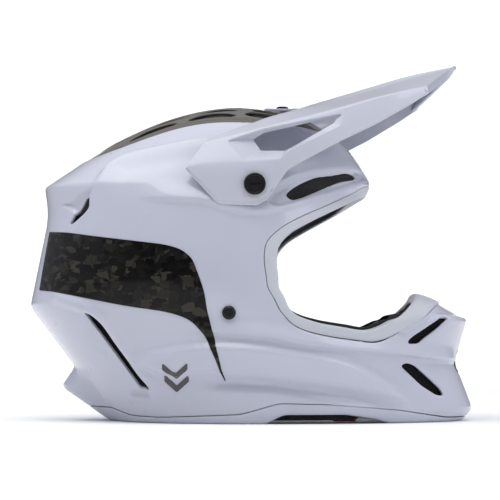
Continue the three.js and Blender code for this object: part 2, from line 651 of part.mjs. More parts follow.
function middleScrew() {
  const head = new THREE.CylinderGeometry(4.6, 5.2, 1.8, 18).rotateX(Math.PI / 2).translate(0, 0, 0.9);
  const shaft = new THREE.CylinderGeometry(2.4, 2.4, 11, 12).rotateX(Math.PI / 2).translate(0, 0, -5);
  const slot = new THREE.BoxGeometry(6, 1.2, 1.4).translate(0, 0, 1.8);
  return solid(head).add(solid(shaft)).subtract(solid(slot)).translate([MIDDLE_SCREW_X, 0, 270.1]);
}
add("visor_middle_screw", middleScrew(), BLACK);

export default group;
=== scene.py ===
"""Motocross helmet: the looks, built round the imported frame. Lengths are in millimetres until a mesh is made."""
import math

import bpy
import numpy as np
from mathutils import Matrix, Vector

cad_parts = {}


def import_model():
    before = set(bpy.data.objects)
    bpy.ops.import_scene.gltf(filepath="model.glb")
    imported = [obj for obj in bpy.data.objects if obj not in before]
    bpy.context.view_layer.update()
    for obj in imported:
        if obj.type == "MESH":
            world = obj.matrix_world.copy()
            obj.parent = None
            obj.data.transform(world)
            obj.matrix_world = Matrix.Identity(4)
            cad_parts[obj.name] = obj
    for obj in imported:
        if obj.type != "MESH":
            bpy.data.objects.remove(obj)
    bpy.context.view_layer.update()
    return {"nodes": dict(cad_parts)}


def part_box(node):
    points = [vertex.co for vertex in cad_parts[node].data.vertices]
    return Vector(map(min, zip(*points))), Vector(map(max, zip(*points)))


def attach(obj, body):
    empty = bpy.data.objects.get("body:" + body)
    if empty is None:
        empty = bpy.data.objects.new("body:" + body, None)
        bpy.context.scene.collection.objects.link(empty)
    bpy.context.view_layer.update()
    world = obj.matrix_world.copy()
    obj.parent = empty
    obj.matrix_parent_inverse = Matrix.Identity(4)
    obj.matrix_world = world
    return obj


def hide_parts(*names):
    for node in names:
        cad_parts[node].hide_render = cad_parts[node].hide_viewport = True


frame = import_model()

# ---------- camera ----------
camera = bpy.data.objects.new("camera", bpy.data.cameras.new("camera"))
bpy.context.scene.collection.objects.link(camera)
bpy.context.scene.camera = camera
CAMERA_AT = np.array([0.016, -2.236, 0.0745])
CAMERA_AIM = np.array([-0.001, 0.0, 0.146])


def aim(thing, at, target):
    """Places a camera or a light and turns its -Z axis to the target."""
    thing.location = Vector(at)
    thing.rotation_euler = (Vector(target) - Vector(at)).to_track_quat("-Z", "Y").to_euler()


aim(camera, CAMERA_AT, CAMERA_AIM)
camera.data.lens = 187.1
camera.data.sensor_width = 36.0
camera.data.clip_end = 50

# ---------- driving dimensions, as in the frame's design ----------
MM = 0.001
WALL = 3.0
GAP = 0.4
TEMPLE = 199.0
CROWN = 304.5
HEAD = {"x": -38.0, "half_x": 98.0, "half_y": 77.0, "top": 230.0, "mid": 132.0}
FACE = {"half_x": 186.0, "half_y": 66.0}
PIVOT = (4.0, 196.0)
PLATE_Y = 122.5
VISOR_WALL = 2.4
RIVET = {"x": -17.0, "z": 91.0, "y": 125.9, "head": 5.6}
STRAP = {"x": -17.0, "width": 22.0, "thick": 1.6, "y": 97.9}
RING = {"wire": 1.5, "half": 14.0, "side": 8.0, "arc": 8.0, "y": 31.0, "low": 10.2, "high": 14.4}
MIDDLE_SCREW_X = 27.0
PIVOT_HOLE, RIVET_HOLE, MIDDLE_HOLE = 3.5, 2.8, 2.9  # radii
NUDGE = -0.165  # along X, from the design's origin to the frame's
POLE = CROWN - 0.05  # just short of the crown's top, where the map's columns meet
NORMAL_TOP = CROWN - 1.5  # the highest level where the form's normal is sound
FAR = 20  # how far out a distance is worked out where 14 mm isn't enough
SIDES = (("left", 1.0), ("right", -1.0))


# ---------- curves and distances ----------
def smoothstep(low, high, x):
    t = np.clip((x - low) / (high - low), 0, 1)
    return t * t * (3 - 2 * t)


def ramp(t, r):
    """0 before a corner and t after it, rounded within r of it."""
    s = np.clip((t + r) / (2 * r), 0, 1) if r > 0 else (t > 0) * 1.0
    bend = 2 * r * (s**3 - s**4 / 2)
    return np.where(t > r, t, bend)


def rounded(points):
    """A polyline of (at, value, corner radius) as a smooth function."""
    at = [p[0] for p in points]
    value = [p[1] for p in points]
    slope = [(value[i + 1] - value[i]) / (at[i + 1] - at[i]) for i in range(len(at) - 1)]

    def curve(x):
        out = value[0] + slope[0] * (x - at[0])
        for i in range(1, len(slope)):
            out = out + (slope[i] - slope[i - 1]) * ramp(x - at[i], points[i][2])
        return out

    return curve


def spline(points, per, closed=True):
    """Centripetal Catmull-Rom through the points, with per steps to a stretch."""
    p = np.asarray(points, float)
    n = len(p)
    count = n if closed else n - 1
    t = np.arange(per)[:, None] / per
    out = []
    for i in range(count):
        if closed:
            a, b, c, d = (p[(i + k - 1) % n] for k in range(4))
        else:
            b, c = p[i], p[i + 1]
            a = p[i - 1] if i else 2 * b - c
            d = p[i + 2] if i + 2 < n else 2 * c - b
        e0, e1, e2 = (max(np.linalg.norm(y - x), 1e-6) ** 0.5 for x, y in ((a, b), (b, c), (c, d)))
        m0 = ((b - a) / e0 - (c - a) / (e0 + e1) + (c - b) / e1) * e1
        m1 = ((c - b) / e1 - (d - b) / (e1 + e2) + (d - c) / e2) * e1
        k = 2 * (b - c) + m0 + m1
        j = 3 * (c - b) - 2 * m0 - m1
        out.append(b + m0 * t + j * t**2 + k * t**3)
    if not closed:
        out.append(p[-1:])
    return np.concatenate(out)


def near(q, line, closed, reach):
    """For each point within reach: distance, side (+ left of the line) and share along the line."""
    q = np.asarray(q, float)
    line = np.asarray(line, float)
    flat = q.reshape(-1, 2)
    pick = np.all((flat > line.min(0) - reach) & (flat < line.max(0) + reach), axis=1)
    x = flat[pick]
    best = np.full(len(x), np.inf)
    side = np.ones(len(x))
    share = np.zeros(len(x))
    ends = np.roll(line, -1, 0) if closed else line[1:]
    starts = line if closed else line[:-1]
    lengths = np.linalg.norm(ends - starts, axis=1)
    walked = np.concatenate([[0], np.cumsum(lengths)])
    for i, (a, b) in enumerate(zip(starts, ends)):
        ab = b - a
        t = np.clip(((x - a) @ ab) / max(ab @ ab, 1e-12), 0, 1)
        gap = x - a - t[:, None] * ab
        d = np.hypot(gap[:, 0], gap[:, 1])
        closer = d < best
        best[closer] = d[closer]
        cross = ab[0] * (x[:, 1] - a[1]) - ab[1] * (x[:, 0] - a[0])
        side[closer] = np.where(cross[closer] >= 0, 1, -1)
        share[closer] = ((walked[i] + t * lengths[i]) / walked[-1])[closer]
    return flat, pick, x, best, side, share


def within(q, outline, reach=14.0):
    """Signed distance to a closed outline: positive inside."""
    flat, pick, x, best, _, _ = near(q, outline, True, reach)
    line = np.asarray(outline, float)
    odd = np.zeros(len(x), bool)
    for a, b in zip(line, np.roll(line, -1, 0)):
        spans = (a[1] > x[:, 1]) != (b[1] > x[:, 1])
        with np.errstate(divide="ignore", invalid="ignore"):
            at = (b[0] - a[0]) * (x[:, 1] - a[1]) / (b[1] - a[1]) + a[0]
        odd ^= spans & (x[:, 0] < at)
    out = np.full(len(flat), -reach)
    out[pick] = np.maximum(np.where(odd, best, -best), -reach)
    return out.reshape(q.shape[:-1])


def along(q, line, reach):
    """Signed distance to an open line (+ on its left) and the share along it, or reach and 0 far away."""
    flat, pick, _, best, side, share = near(q, line, False, reach)
    d = np.full(len(flat), float(reach))
    s = np.zeros(len(flat))
    d[pick] = np.clip(best, 0, reach) * side
    s[pick] = share
    return d.reshape(q.shape[:-1]), s.reshape(q.shape[:-1])


# ---------- the outer surface ----------
rear_x = rounded([
    (0, -116.5, 0), (97, -189.5, 7), (174.5, -173.5, 17), (TEMPLE, -177, 3),
    (239.5, -123.5, 19), (269, -72.5, 17), (287.5, -36, 15), (CROWN, -10, 0),
])
rear_z = rounded([
    (0, 0, 0), (TEMPLE, 198.5, 3), (239.5, 234.5, 19), (269, 258, 17), (287.5, 267, 15), (CROWN, 270, 0),
])
front_x = rounded([
    (-21, 159.5, 0), (9.5, 190, 6), (49.5, 175, 8), (87, 185.5, 4), (103, 159.5, 8), (111.5, 130, 6),
    (188, 96, 7), (202.5, 103, 6), (233, 87.5, 15), (262.5, 62, 15), (285.5, 27, 13), (CROWN, -10, 0),
])
front_z = rounded([
    (0, 0, 0), (TEMPLE, TEMPLE, 8), (233, 228, 15), (262.5, 252.5, 15), (285.5, 264, 13), (CROWN, 270, 0),
])
side_w = rounded([
    (0, 108, 0), (63, 123, 26), (136.5, 127, 42), (TEMPLE, 114.5, 32), (236, 92.5, 21), (268, 60, 21),
    (289, 28.5, 16), (CROWN, 0, 0),
])
side_z = rounded([
    (0, 0, 0), (TEMPLE, TEMPLE, 15), (236, 231, 21), (268, 256, 21), (289, 266, 16), (CROWN, 270, 0),
])
side_x = rounded([(0, 5, 0), (63, -5, 32), (136.5, -29.5, 42), (210, -31.5, 32), (CROWN, -10, 0)])
rear_round = rounded([(0, 2.1, 0), (94.5, 2.15, 32), (TEMPLE, 2.3, 32), (CROWN, 2, 0)])
front_round = rounded([(0, 2, 0), (73.5, 1.95, 32), (136.5, 2.2, 32), (TEMPLE, 2.5, 32), (CROWN, 2, 0)])
fin_out = rounded([(-10, 2, 0), (0, -4.5, 3), (27, -23, 1.5), (31, -21.5, 1.5), (46, 0, 4), (70, 0, 0)])


def surface(angle, v, pull=0.0):
    """Points of the outer form. Angle 0 is the rear and 180 the front; the +Y side is below 180."""
    phi = np.radians(angle)
    c, s = np.cos(phi), np.sin(phi)
    rear = c >= 0
    n = np.where(rear, rear_round(v), front_round(v))
    k = (np.abs(c) ** n + np.abs(s) ** n) ** (-1 / n)
    reach = np.abs(c) * k
    fin = fin_out(v) * (1 - smoothstep(9, 22, np.minimum(angle % 360, 360 - angle % 360)))
    end = np.where(rear, rear_x(v) + np.where(v < 60, fin, 0) + pull, front_x(v) - pull)
    height = np.where(rear, rear_z(v), front_z(v))
    x = side_x(v) + (end - side_x(v)) * reach
    y = (side_w(v) - pull) * s * k
    z = side_z(v) + (height - side_z(v)) * reach**2
    return np.stack([x, y, z], -1)


def normal(angle, v, step=0.4):
    across = surface(angle + step, v) - surface(angle - step, v)
    up = surface(angle, v + step) - surface(angle, v - step)
    n = np.cross(up, across)
    return n / np.maximum(np.linalg.norm(n, axis=-1, keepdims=True), 1e-9)


# ---------- outlines on the surface map, (angle, v) on the +Y side ----------
EYE_SEAM = [
    (160, 198.5), (148, 190.5), (133, 180), (120, 169), (112, 159), (107, 148), (105, 134), (104, 118),
    (102.5, 104), (102, 91), (103.5, 82), (107, 76), (113, 71.5), (120, 68.5), (126, 67), (131, 71),
    (137, 80), (146, 90), (163, 99),
]
EYE_INNER = [
    (164, 189), (149, 184), (136, 176), (125, 166.5), (116, 156), (111, 145), (109, 132), (108, 119),
    (106.2, 107), (104.8, 97), (105.4, 89.5), (109.6, 83.5), (117, 79), (123, 76.5), (127, 79), (132, 86),
    (139, 93.5), (148, 101), (164, 107.5),
]
BROW_VENT = [
    (117.5, 188.5), (119, 185), (122, 186), (128, 190.5), (141, 200), (150, 205.5), (154.5, 210),
    (147, 211.5), (137, 209), (127, 205), (121, 197),
]
CHIN_UPPER = [(137.5, 66), (139, 70.5), (151, 88), (156, 88.5), (151.5, 80.5), (142, 66)]
CHIN_LOWER = [(136, 47.5), (138.5, 49.5), (142, 47), (151, 27.5), (151.5, 22.5), (147.5, 23), (142, 31)]
REAR_SLOT = [
    (45.5, 91.5), (47.5, 90.5), (49.5, 82), (50, 66), (52, 44), (53.5, 27.5), (50, 28), (48.5, 45), (46.8, 70),
]
REAR_EXHAUST = [(46.5, 187), (46, 180), (43, 172.5), (37.5, 165.5), (39, 172), (42.5, 180), (45, 186.5)]
MOUTH_VENT = [(169, 50), (172, 42), (180, 40), (188, 42), (191, 50), (188, 59), (180, 62), (172, 59)]
EDGE = [(-118, 12), (-100, 6), (-76, 5), (-8, 8), (24, 17), (65, 16), (124, 11), (165, 4)]
ARCH = [(8, -2), (28, 7.5), (78, 7.5), (103, 4), (125, -2)]
CROWN_HALF = [
    (-148, 14), (-139, 33), (-128, 47), (-112, 57), (-96, 62), (-60, 64), (0, 63.5), (24, 59), (42, 51), (58, 41),
    (68, 26),
]
PER_DEGREE = 2.0  # millimetres to a degree on the map


def on_map(points):
    return [(a * PER_DEGREE, v) for a, v in points]


def both_sides(half):
    return list(half) + [(360 - a, v) for a, v in reversed(half)]


def map_curve(points, per=8):
    return spline(on_map(points), per)


def grown(line, grow):
    """A dense closed outline moved out by grow millimetres."""
    line = np.asarray(line, float)
    turn = np.roll(line, -1, 0) - np.roll(line, 1, 0)
    side = np.stack([turn[:, 1], -turn[:, 0]], -1)
    side /= np.maximum(np.linalg.norm(side, axis=1, keepdims=True), 1e-9)
    nxt = np.roll(line, -1, 0)
    area = np.sum(line[:, 0] * nxt[:, 1] - nxt[:, 0] * line[:, 1])
    return line + side * (grow if area > 0 else -grow)


def corners_rounded(points, r, steps=4):
    """A closed outline with straight sides and its corners rounded."""
    p = np.asarray(points, float)
    out = []
    for a, b, c in zip(np.roll(p, 1, 0), p, np.roll(p, -1, 0)):
        u = (a - b) / np.linalg.norm(a - b)
        w = (c - b) / np.linalg.norm(c - b)
        reach = min(r, np.linalg.norm(a - b) * 0.45, np.linalg.norm(c - b) * 0.45)
        for k in range(steps + 1):
            t = k / steps
            out.append(b + u * reach * (1 - t) ** 2 + w * reach * t**2)
    return np.array(out)


eye_seam = map_curve(both_sides(EYE_SEAM))
SIDE_VENTS = {
    "brow_vent_mesh": BROW_VENT, "chin_vent_upper_mesh": CHIN_UPPER, "chin_vent_lower_mesh": CHIN_LOWER,
    "rear_slot_mesh": REAR_SLOT, "rear_exhaust_mesh": REAR_EXHAUST,
}
CURVED_VENTS = ("brow_vent_mesh", "rear_exhaust_mesh")
side_vents = {
    name: map_curve(points) if name in CURVED_VENTS else corners_rounded(on_map(points), 2.6)
    for name, points in SIDE_VENTS.items()
}
mouth = map_curve(MOUTH_VENT)
crown_line = spline([(x, -w) for x, w in CROWN_HALF] + [(x, w) for x, w in reversed(CROWN_HALF)], 6)
edge_z = rounded([(-210, 14, 0)] + [(x, z, 5) for x, z in EDGE] + [(210, 3, 0)])
arch_z = rounded([(-10, -2, 0)] + [(x, z, 4) for x, z in ARCH] + [(200, -2, 0)])

# ---------- relief of the shell: creases, bulge, recesses ----------
CHEEK_BULGE = [
    (70, 66), (88.5, 68.5), (103.9, 62), (116.4, 56.5), (123, 48.6), (129.7, 33.3), (134, 18.6), (131, 15),
    (118, 24), (110.5, 28.2), (91.6, 36.5), (78, 38), (60, 40), (52, 54),
]
UNDER_BULGE = [(70, 33), (85, 33), (95, 31.5), (105, 27), (118, 20.5), (130, 13.5)]
JAW_CREASE = [
    (72, 76.5), (88.7, 72.9), (97.4, 70.5), (104.1, 65.6), (112.7, 61.9), (131.9, 57.3), (150, 53), (178, 48.5),
]
TEMPLE_CREASE = [(64, 185), (70, 184), (78, 182), (86, 181), (98, 173.5), (107, 172), (117, 177), (130, 185)]
BROW_RECESS = [
    (110.8, 191), (109.2, 182.4), (112.3, 176.5), (129.2, 186.8), (142.9, 194.2), (154, 200.5), (166, 208),
    (163, 215.5), (146, 215.5), (134, 213.5), (123, 208.5), (115, 200),
]
CROWN_RIDGE = [(48, 193), (48.6, 204.9), (47, 216), (50, 226), (62.5, 233.2), (79.3, 241.8), (95, 246)]
EXHAUST_RECESS = [(31, 182.5), (40, 188), (49, 195.5), (47.6, 186), (47, 178), (43, 170), (36.5, 163), (39, 173)]
SLOT_RIDGE = [(30.5, 107.1), (41.2, 100.4), (48.5, 94), (51, 88.2), (52.2, 79.8), (53.2, 59.0), (54.5, 30)]
SLOT_DENT = [(42, 24), (48, 24.2), (53.5, 23)]
CHIN_FACET = [
    (133, 74.5), (137.5, 70.5), (141, 76), (151, 89.5), (157, 90), (168, 88), (182, 88), (182, 101), (163, 99.3),
    (146, 90.5), (137, 80.5),
]
dense = {
    "bulge": map_curve(CHEEK_BULGE, 6),
    "brow": map_curve(BROW_RECESS, 6),
    "exhaust": map_curve(EXHAUST_RECESS, 4),
    "chin": map_curve(CHIN_FACET, 3),
}
open_lines = {
    name: spline(on_map(points), 5, closed=False)
    for name, points in {
        "under": UNDER_BULGE, "jaw": JAW_CREASE, "temple": TEMPLE_CREASE, "crown": CROWN_RIDGE,
        "slot": SLOT_RIDGE, "dent": SLOT_DENT,
    }.items()
}
open_lines["crown"] = open_lines["crown"][::-1]


def ridge(q, line, height, width, ends, sharp=None):
    """A ridge or groove width millimetres to each side of a line, or with sharp a step up on the line's left.

    It dies away over the share ends at each end of the line.
    """
    d, share = along(q, open_lines[line], width * 1.02)
    taper = smoothstep(0, ends, share) * smoothstep(0, ends, 1 - share)
    if sharp:
        taper = taper * smoothstep(-sharp, sharp, d)
    return height * taper * (1 - smoothstep(0, width, np.abs(d)))


def relief(angle, v):
    """How far the painted shell stands out from the outer form."""
    q = np.stack([angle * PER_DEGREE, v], -1)
    out = 4.9 * smoothstep(-1.5, 7, within(q, dense["bulge"], FAR))
    for line, height, width, ends, sharp in (
        ("under", -3.4, 7.5, 0.25, None), ("jaw", 4.1, 15, 0.2, 1.8), ("temple", 2.8, 20, 0.2, 2.2),
        ("crown", 3.8, 22, 0.18, 2.4), ("slot", 2.6, 8, 0.12, None), ("dent", -2.6, 4.5, 0.3, None),
    ):
        out = out + ridge(q, line, height, width, ends, sharp)
    out = out - 4.2 * smoothstep(0, 4.5, within(q, dense["brow"]))
    out = out - 3.2 * smoothstep(0, 4, within(q, dense["exhaust"]))
    out = out - 1.9 * smoothstep(0, 2.2, within(q, dense["chin"]))
    for name in ("chin_vent_upper_mesh", "chin_vent_lower_mesh"):
        out = out - 0.7 * smoothstep(-3.0, -0.4, within(q, side_vents[name]))
    return out


def shell_at(angle, v, out=0.0):
    """Points of the painted surface, moved out along the form's normals."""
    folded = np.minimum(angle % 360, 360 - angle % 360)
    return surface(angle, v) + normal(angle, v) * (relief(folded, v) + out)[..., None]


# ---------- meshes ----------
def trimmed(p, cut, wrap=0.0):
    """Cuts a grid of parameters to where cut(p) is below zero, moving vertices onto the cut's edge.

    wrap is the period of a grid that closes on itself along its rows. Returns the parameters and the
    faces that stay, as rows of flat indices, quads and triangles.
    """
    rows, cols = p.shape[:2]
    index = np.arange(rows * cols).reshape(rows, cols)
    p = p.reshape(-1, 2).copy()
    d = cut(p)
    beside = np.roll(index, -1, 1) if wrap else index[:, 1:]
    level = index if wrap else index[:, :-1]
    first = np.concatenate([index[:-1].ravel(), level.ravel()])
    second = np.concatenate([index[1:].ravel(), beside.ravel()])
    crossing = d[first] * d[second] < 0
    first, second = first[crossing], second[crossing]
    a, b = p[first], p[second].copy()
    if wrap:
        b[:, 0] -= np.round((b[:, 0] - a[:, 0]) / wrap) * wrap
    low, high = np.zeros(len(a)), np.ones(len(a))
    at_low, at_high = d[first], d[second]
    t = at_low / (at_low - at_high)
    for _ in range(3):
        value = cut(a + (b - a) * t[:, None])
        same = value * at_low > 0
        low, at_low = np.where(same, t, low), np.where(same, value, at_low)
        high, at_high = np.where(same, high, t), np.where(same, at_high, value)
        gap = at_low - at_high
        t = low + (high - low) * np.where(gap == 0, 0.5, at_low / np.where(gap == 0, 1, gap))
    spot = a + (b - a) * t[:, None]
    pick = np.where(t <= 0.5, first, second)
    order = np.argsort(-np.minimum(t, 1 - t))
    p[pick[order]] = spot[order]
    d[pick] = 0
    if wrap:
        nxt = np.roll(index, -1, 1)
        corners = np.stack([index[:-1], nxt[:-1], nxt[1:], index[1:]], -1).reshape(-1, 4)
    else:
        corners = np.stack([index[:-1, :-1], index[:-1, 1:], index[1:, 1:], index[1:, :-1]], -1)
        corners = corners.reshape(-1, 4)
    sign = np.sign(d)[corners]
    has_out, has_in = (sign > 0).any(1), (sign < 0).any(1)
    flat = corners[(sign == 0).all(1)]
    flat = flat[cut(p[flat].mean(1)) < 0] if len(flat) else flat
    tris = []
    for i in np.nonzero(has_in & has_out)[0]:
        for k in range(4):
            if sign[i, k] < 0:
                tris.append((corners[i, k - 1], corners[i, k], corners[i, (k + 1) % 4]))
    return p, np.concatenate([corners[has_in & ~has_out], flat]), np.array(tris, int).reshape(-1, 3)


def compact(points, quads, tris):
    used = np.unique(np.concatenate([quads.ravel(), tris.ravel()]))
    new = np.full(len(points), -1)
    new[used] = np.arange(len(used))
    return points[used], new[quads], new[tris], used


def vertex_normals(points, quads, tris):
    n = np.zeros_like(points)
    for faces in (quads, tris):
        if not len(faces):
            continue
        a, b, c = points[faces[:, 0]], points[faces[:, 1]], points[faces[:, 2]]
        d = points[faces[:, 3]] if faces.shape[1] == 4 else c
        f = np.cross(c - a, d - b) if faces.shape[1] == 4 else np.cross(b - a, c - a)
        for k in range(faces.shape[1]):
            np.add.at(n, faces[:, k], f)
    return n / np.maximum(np.linalg.norm(n, axis=1, keepdims=True), 1e-12)


def open_edges(quads, tris):
    """The edges that belong to one face only, in the order they are met."""
    edges = {}
    for faces in (quads, tris):
        for f in faces:
            for i in range(len(f)):
                a, b = int(f[i]), int(f[(i + 1) % len(f)])
                if (b, a) in edges:
                    del edges[(b, a)]
                else:
                    edges[(a, b)] = True
    return edges


def walled(sheets, quads, tris, walls):
    """A closed mesh of a sheet's faces, the same faces flipped on its copy, and the walls between them."""
    count = len(sheets[0])
    return (
        np.concatenate(sheets),
        np.concatenate([quads, quads[:, ::-1] + count, np.array(walls, int).reshape(-1, 4)]),
        np.concatenate([tris, tris[:, ::-1] + count]),
    )


def closed(points, back, quads, tris):
    """A solid between a sheet and its moved copy, joined by plain walls."""
    count = len(points)
    walls = [(b, a, a + count, b + count) for a, b in sorted(open_edges(quads, tris))]
    return walled([points, back], quads, tris, walls)


RIM_STEPS = 3  # to a quarter turn of a rounded rim


def thick(points, quads, tris, wall, lip):
    """Gives an open sheet a wall on its back, with rounded rims lip millimetres in radius."""
    n = vertex_normals(points, quads, tris)
    edges = open_edges(quads, tris)
    rim = sorted({i for e in edges for i in e})
    place = {v: i for i, v in enumerate(rim)}
    outward = np.zeros((len(rim), 3))
    for a, b in edges:
        side = np.cross(points[b] - points[a], n[a] + n[b])
        side /= max(np.linalg.norm(side), 1e-9)
        outward[place[a]] += side
        outward[place[b]] += side
    outward /= np.maximum(np.linalg.norm(outward, axis=1, keepdims=True), 1e-9)
    rim = np.array(rim)
    base, up = points[rim], n[rim]
    count = len(points)
    turns = np.arange(1, RIM_STEPS + 1) * math.pi / 2 / RIM_STEPS
    rings = [base + outward * lip * math.sin(t) - up * lip * (1 - math.cos(t)) for t in turns]
    rings += [base + outward * lip * math.sin(t) - up * (wall - lip * (1 - math.cos(t))) for t in turns[::-1]]
    first = 2 * count + np.arange(len(rim))
    levels = [rim] + [first + i * len(rim) for i in range(len(rings))] + [rim + count]
    walls = []
    for a, b in edges:
        i, j = place[a], place[b]
        for low, high in zip(levels, levels[1:]):
            walls.append((low[j], low[i], high[i], high[j]))
    return walled([points, points - n * wall, *rings], quads, tris, walls)


def make(name, points, quads=(), tris=(), smooth=True, sharp=None):
    """A mesh object from millimetres, in the frame."""
    mesh = bpy.data.meshes.new(name)
    quads = np.asarray(quads, int).reshape(-1, 4)
    tris = np.asarray(tris, int).reshape(-1, 3)
    co = (np.asarray(points, float) + [NUDGE, 0, 0]) * MM
    mesh.vertices.add(len(co))
    mesh.vertices.foreach_set("co", co.astype(np.float32).ravel())
    loops = np.concatenate([quads.ravel(), tris.ravel()])
    starts = np.concatenate([np.arange(len(quads)) * 4, len(quads) * 4 + np.arange(len(tris)) * 3])
    mesh.loops.add(len(loops))
    mesh.loops.foreach_set("vertex_index", loops.astype(np.int32))
    mesh.polygons.add(len(starts))
    mesh.polygons.foreach_set("loop_start", starts.astype(np.int32))
    mesh.update(calc_edges=True)
    mesh.validate()
    mesh.polygons.foreach_set("use_smooth", np.full(len(mesh.polygons), smooth))
    if sharp:
        mesh.set_sharp_from_angle(angle=math.radians(sharp))
    obj = bpy.data.objects.new(name, mesh)
    bpy.context.scene.collection.objects.link(obj)
    return obj


def finish(obj, look, body="helmet", replaces=()):
    obj.data.materials.clear()
    obj.data.materials.append(look)
    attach(obj, body)
    if replaces:
        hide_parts(*replaces)
    return obj


def lattice(low, high, step_rows, step_cols):
    """A grid of (column value, row value) parameters between two corners."""
    cols = np.linspace(low[0], high[0], max(2, round((high[0] - low[0]) / step_cols) + 1))
    rows = np.linspace(low[1], high[1], max(2, round((high[1] - low[1]) / step_rows) + 1))
    return np.stack(np.meshgrid(cols, rows), -1)


def mirrored(points):
    return np.asarray(points) * [1, -1, 1]


def flip(faces):
    return np.asarray(faces)[:, ::-1]


# ---------- materials ----------
def shader(name, color, roughness, metallic=0.0, coat=0.0, coat_roughness=0.03):
    look = bpy.data.materials.new(name)
    look.use_nodes = True
    nodes, links = look.node_tree.nodes, look.node_tree.links
    bsdf = nodes["Principled BSDF"]
    for socket, value in {
        "Base Color": (*color, 1), "Roughness": roughness, "Metallic": metallic, "Coat Weight": coat,
        "Coat Roughness": coat_roughness, "Specular IOR Level": 0.18 if coat else 0.3, "Coat IOR": 1.42,
    }.items():
        bsdf.inputs[socket].default_value = value
    return look, nodes, links, bsdf, nodes.new("ShaderNodeTexCoord")


def added(nodes, links, kind, vector=None, **values):
    """A new shader node, with values on its sockets and vector linked to its first."""
    node = nodes.new("ShaderNode" + kind)
    for socket, value in values.items():
        node.inputs[socket.replace("_", " ")].default_value = value
    if vector is not None:
        links.new(vector, node.inputs["Vector"])
    return node


def noise(nodes, links, place, scale, detail=3.0):
    return added(nodes, links, "TexNoise", place.outputs["Object"], Scale=scale, Detail=detail, Roughness=0.55)


def ranged(nodes, links, source, low, high, from_low=0.3, from_high=0.7):
    """The source's stretch from_low to from_high spread over low to high."""
    node = added(nodes, links, "MapRange", From_Min=from_low, From_Max=from_high, To_Min=low, To_Max=high)
    links.new(source, node.inputs["Value"])
    return node.outputs["Result"]


def toned(nodes, links, source, stops, target):
    """A ramp of (at, color) stops from the source to the target socket."""
    node = nodes.new("ShaderNodeValToRGB")
    elements = node.color_ramp.elements
    while len(elements) < len(stops):
        elements.new(0.5)
    for element, (at, color) in zip(elements, stops):
        element.position = at
        element.color = (*color, 1)
    links.new(source, node.inputs["Fac"])
    links.new(node.outputs["Color"], target)


def scaled_and_added(nodes, links, source, factor, addend):
    node = nodes.new("ShaderNodeMath")
    node.operation = "MULTIPLY_ADD"
    node.inputs[1].default_value = factor
    links.new(source, node.inputs[0])
    links.new(addend, node.inputs[2])
    return node.outputs["Value"]


def bumped(nodes, links, bsdf, height, distance, strength):
    node = added(nodes, links, "Bump", Strength=strength, Distance=distance)
    links.new(height, node.inputs["Height"])
    links.new(node.outputs["Normal"], bsdf.inputs["Normal"])


def paint(name, color, roughness, coat):
    """Sprayed gloss paint: a faint drift of tone, and orange peel too fine to see from afar."""
    look, nodes, links, bsdf, place = shader(name, color, roughness, coat=coat, coat_roughness=0.035)
    drift = noise(nodes, links, place, 9)
    darker = tuple(0.965 * c for c in color)
    toned(nodes, links, drift.outputs["Fac"], [(0.35, darker), (0.65, color)], bsdf.inputs["Base Color"])
    haze = noise(nodes, links, place, 40)
    links.new(ranged(nodes, links, haze.outputs["Fac"], roughness * 0.9, roughness * 1.1), bsdf.inputs["Roughness"])
    peel = noise(nodes, links, place, 420, 1)
    bumped(nodes, links, bsdf, peel.outputs["Fac"], 0.00001, 0.04)
    return look


def moulded(name, color, roughness, grain=2200, depth=0.00006, spread=0.15):
    """Moulded plastic or rubber with a fine spark-eroded grain."""
    look, nodes, links, bsdf, place = shader(name, color, roughness)
    grit = noise(nodes, links, place, grain, 2)
    cloud = noise(nodes, links, place, 60)
    lighter = tuple(min(1, c * (1 + spread)) for c in color)
    toned(nodes, links, cloud.outputs["Fac"], [(0.3, color), (0.7, lighter)], bsdf.inputs["Base Color"])
    links.new(ranged(nodes, links, grit.outputs["Fac"], roughness * 0.8, roughness * 1.2), bsdf.inputs["Roughness"])
    bumped(nodes, links, bsdf, grit.outputs["Fac"], depth, 0.7)
    return look


CHIPS = ((112.0, 0.0), (185.0, 3.7))  # (scale, shift) of the large and the small chips
CHIP_TONES = [
    (0.30, (0.0025, 0.0025, 0.0025)), (0.58, (0.006, 0.0055, 0.005)), (0.84, (0.017, 0.015, 0.012)),
    (1.0, (0.036, 0.033, 0.026)),
]


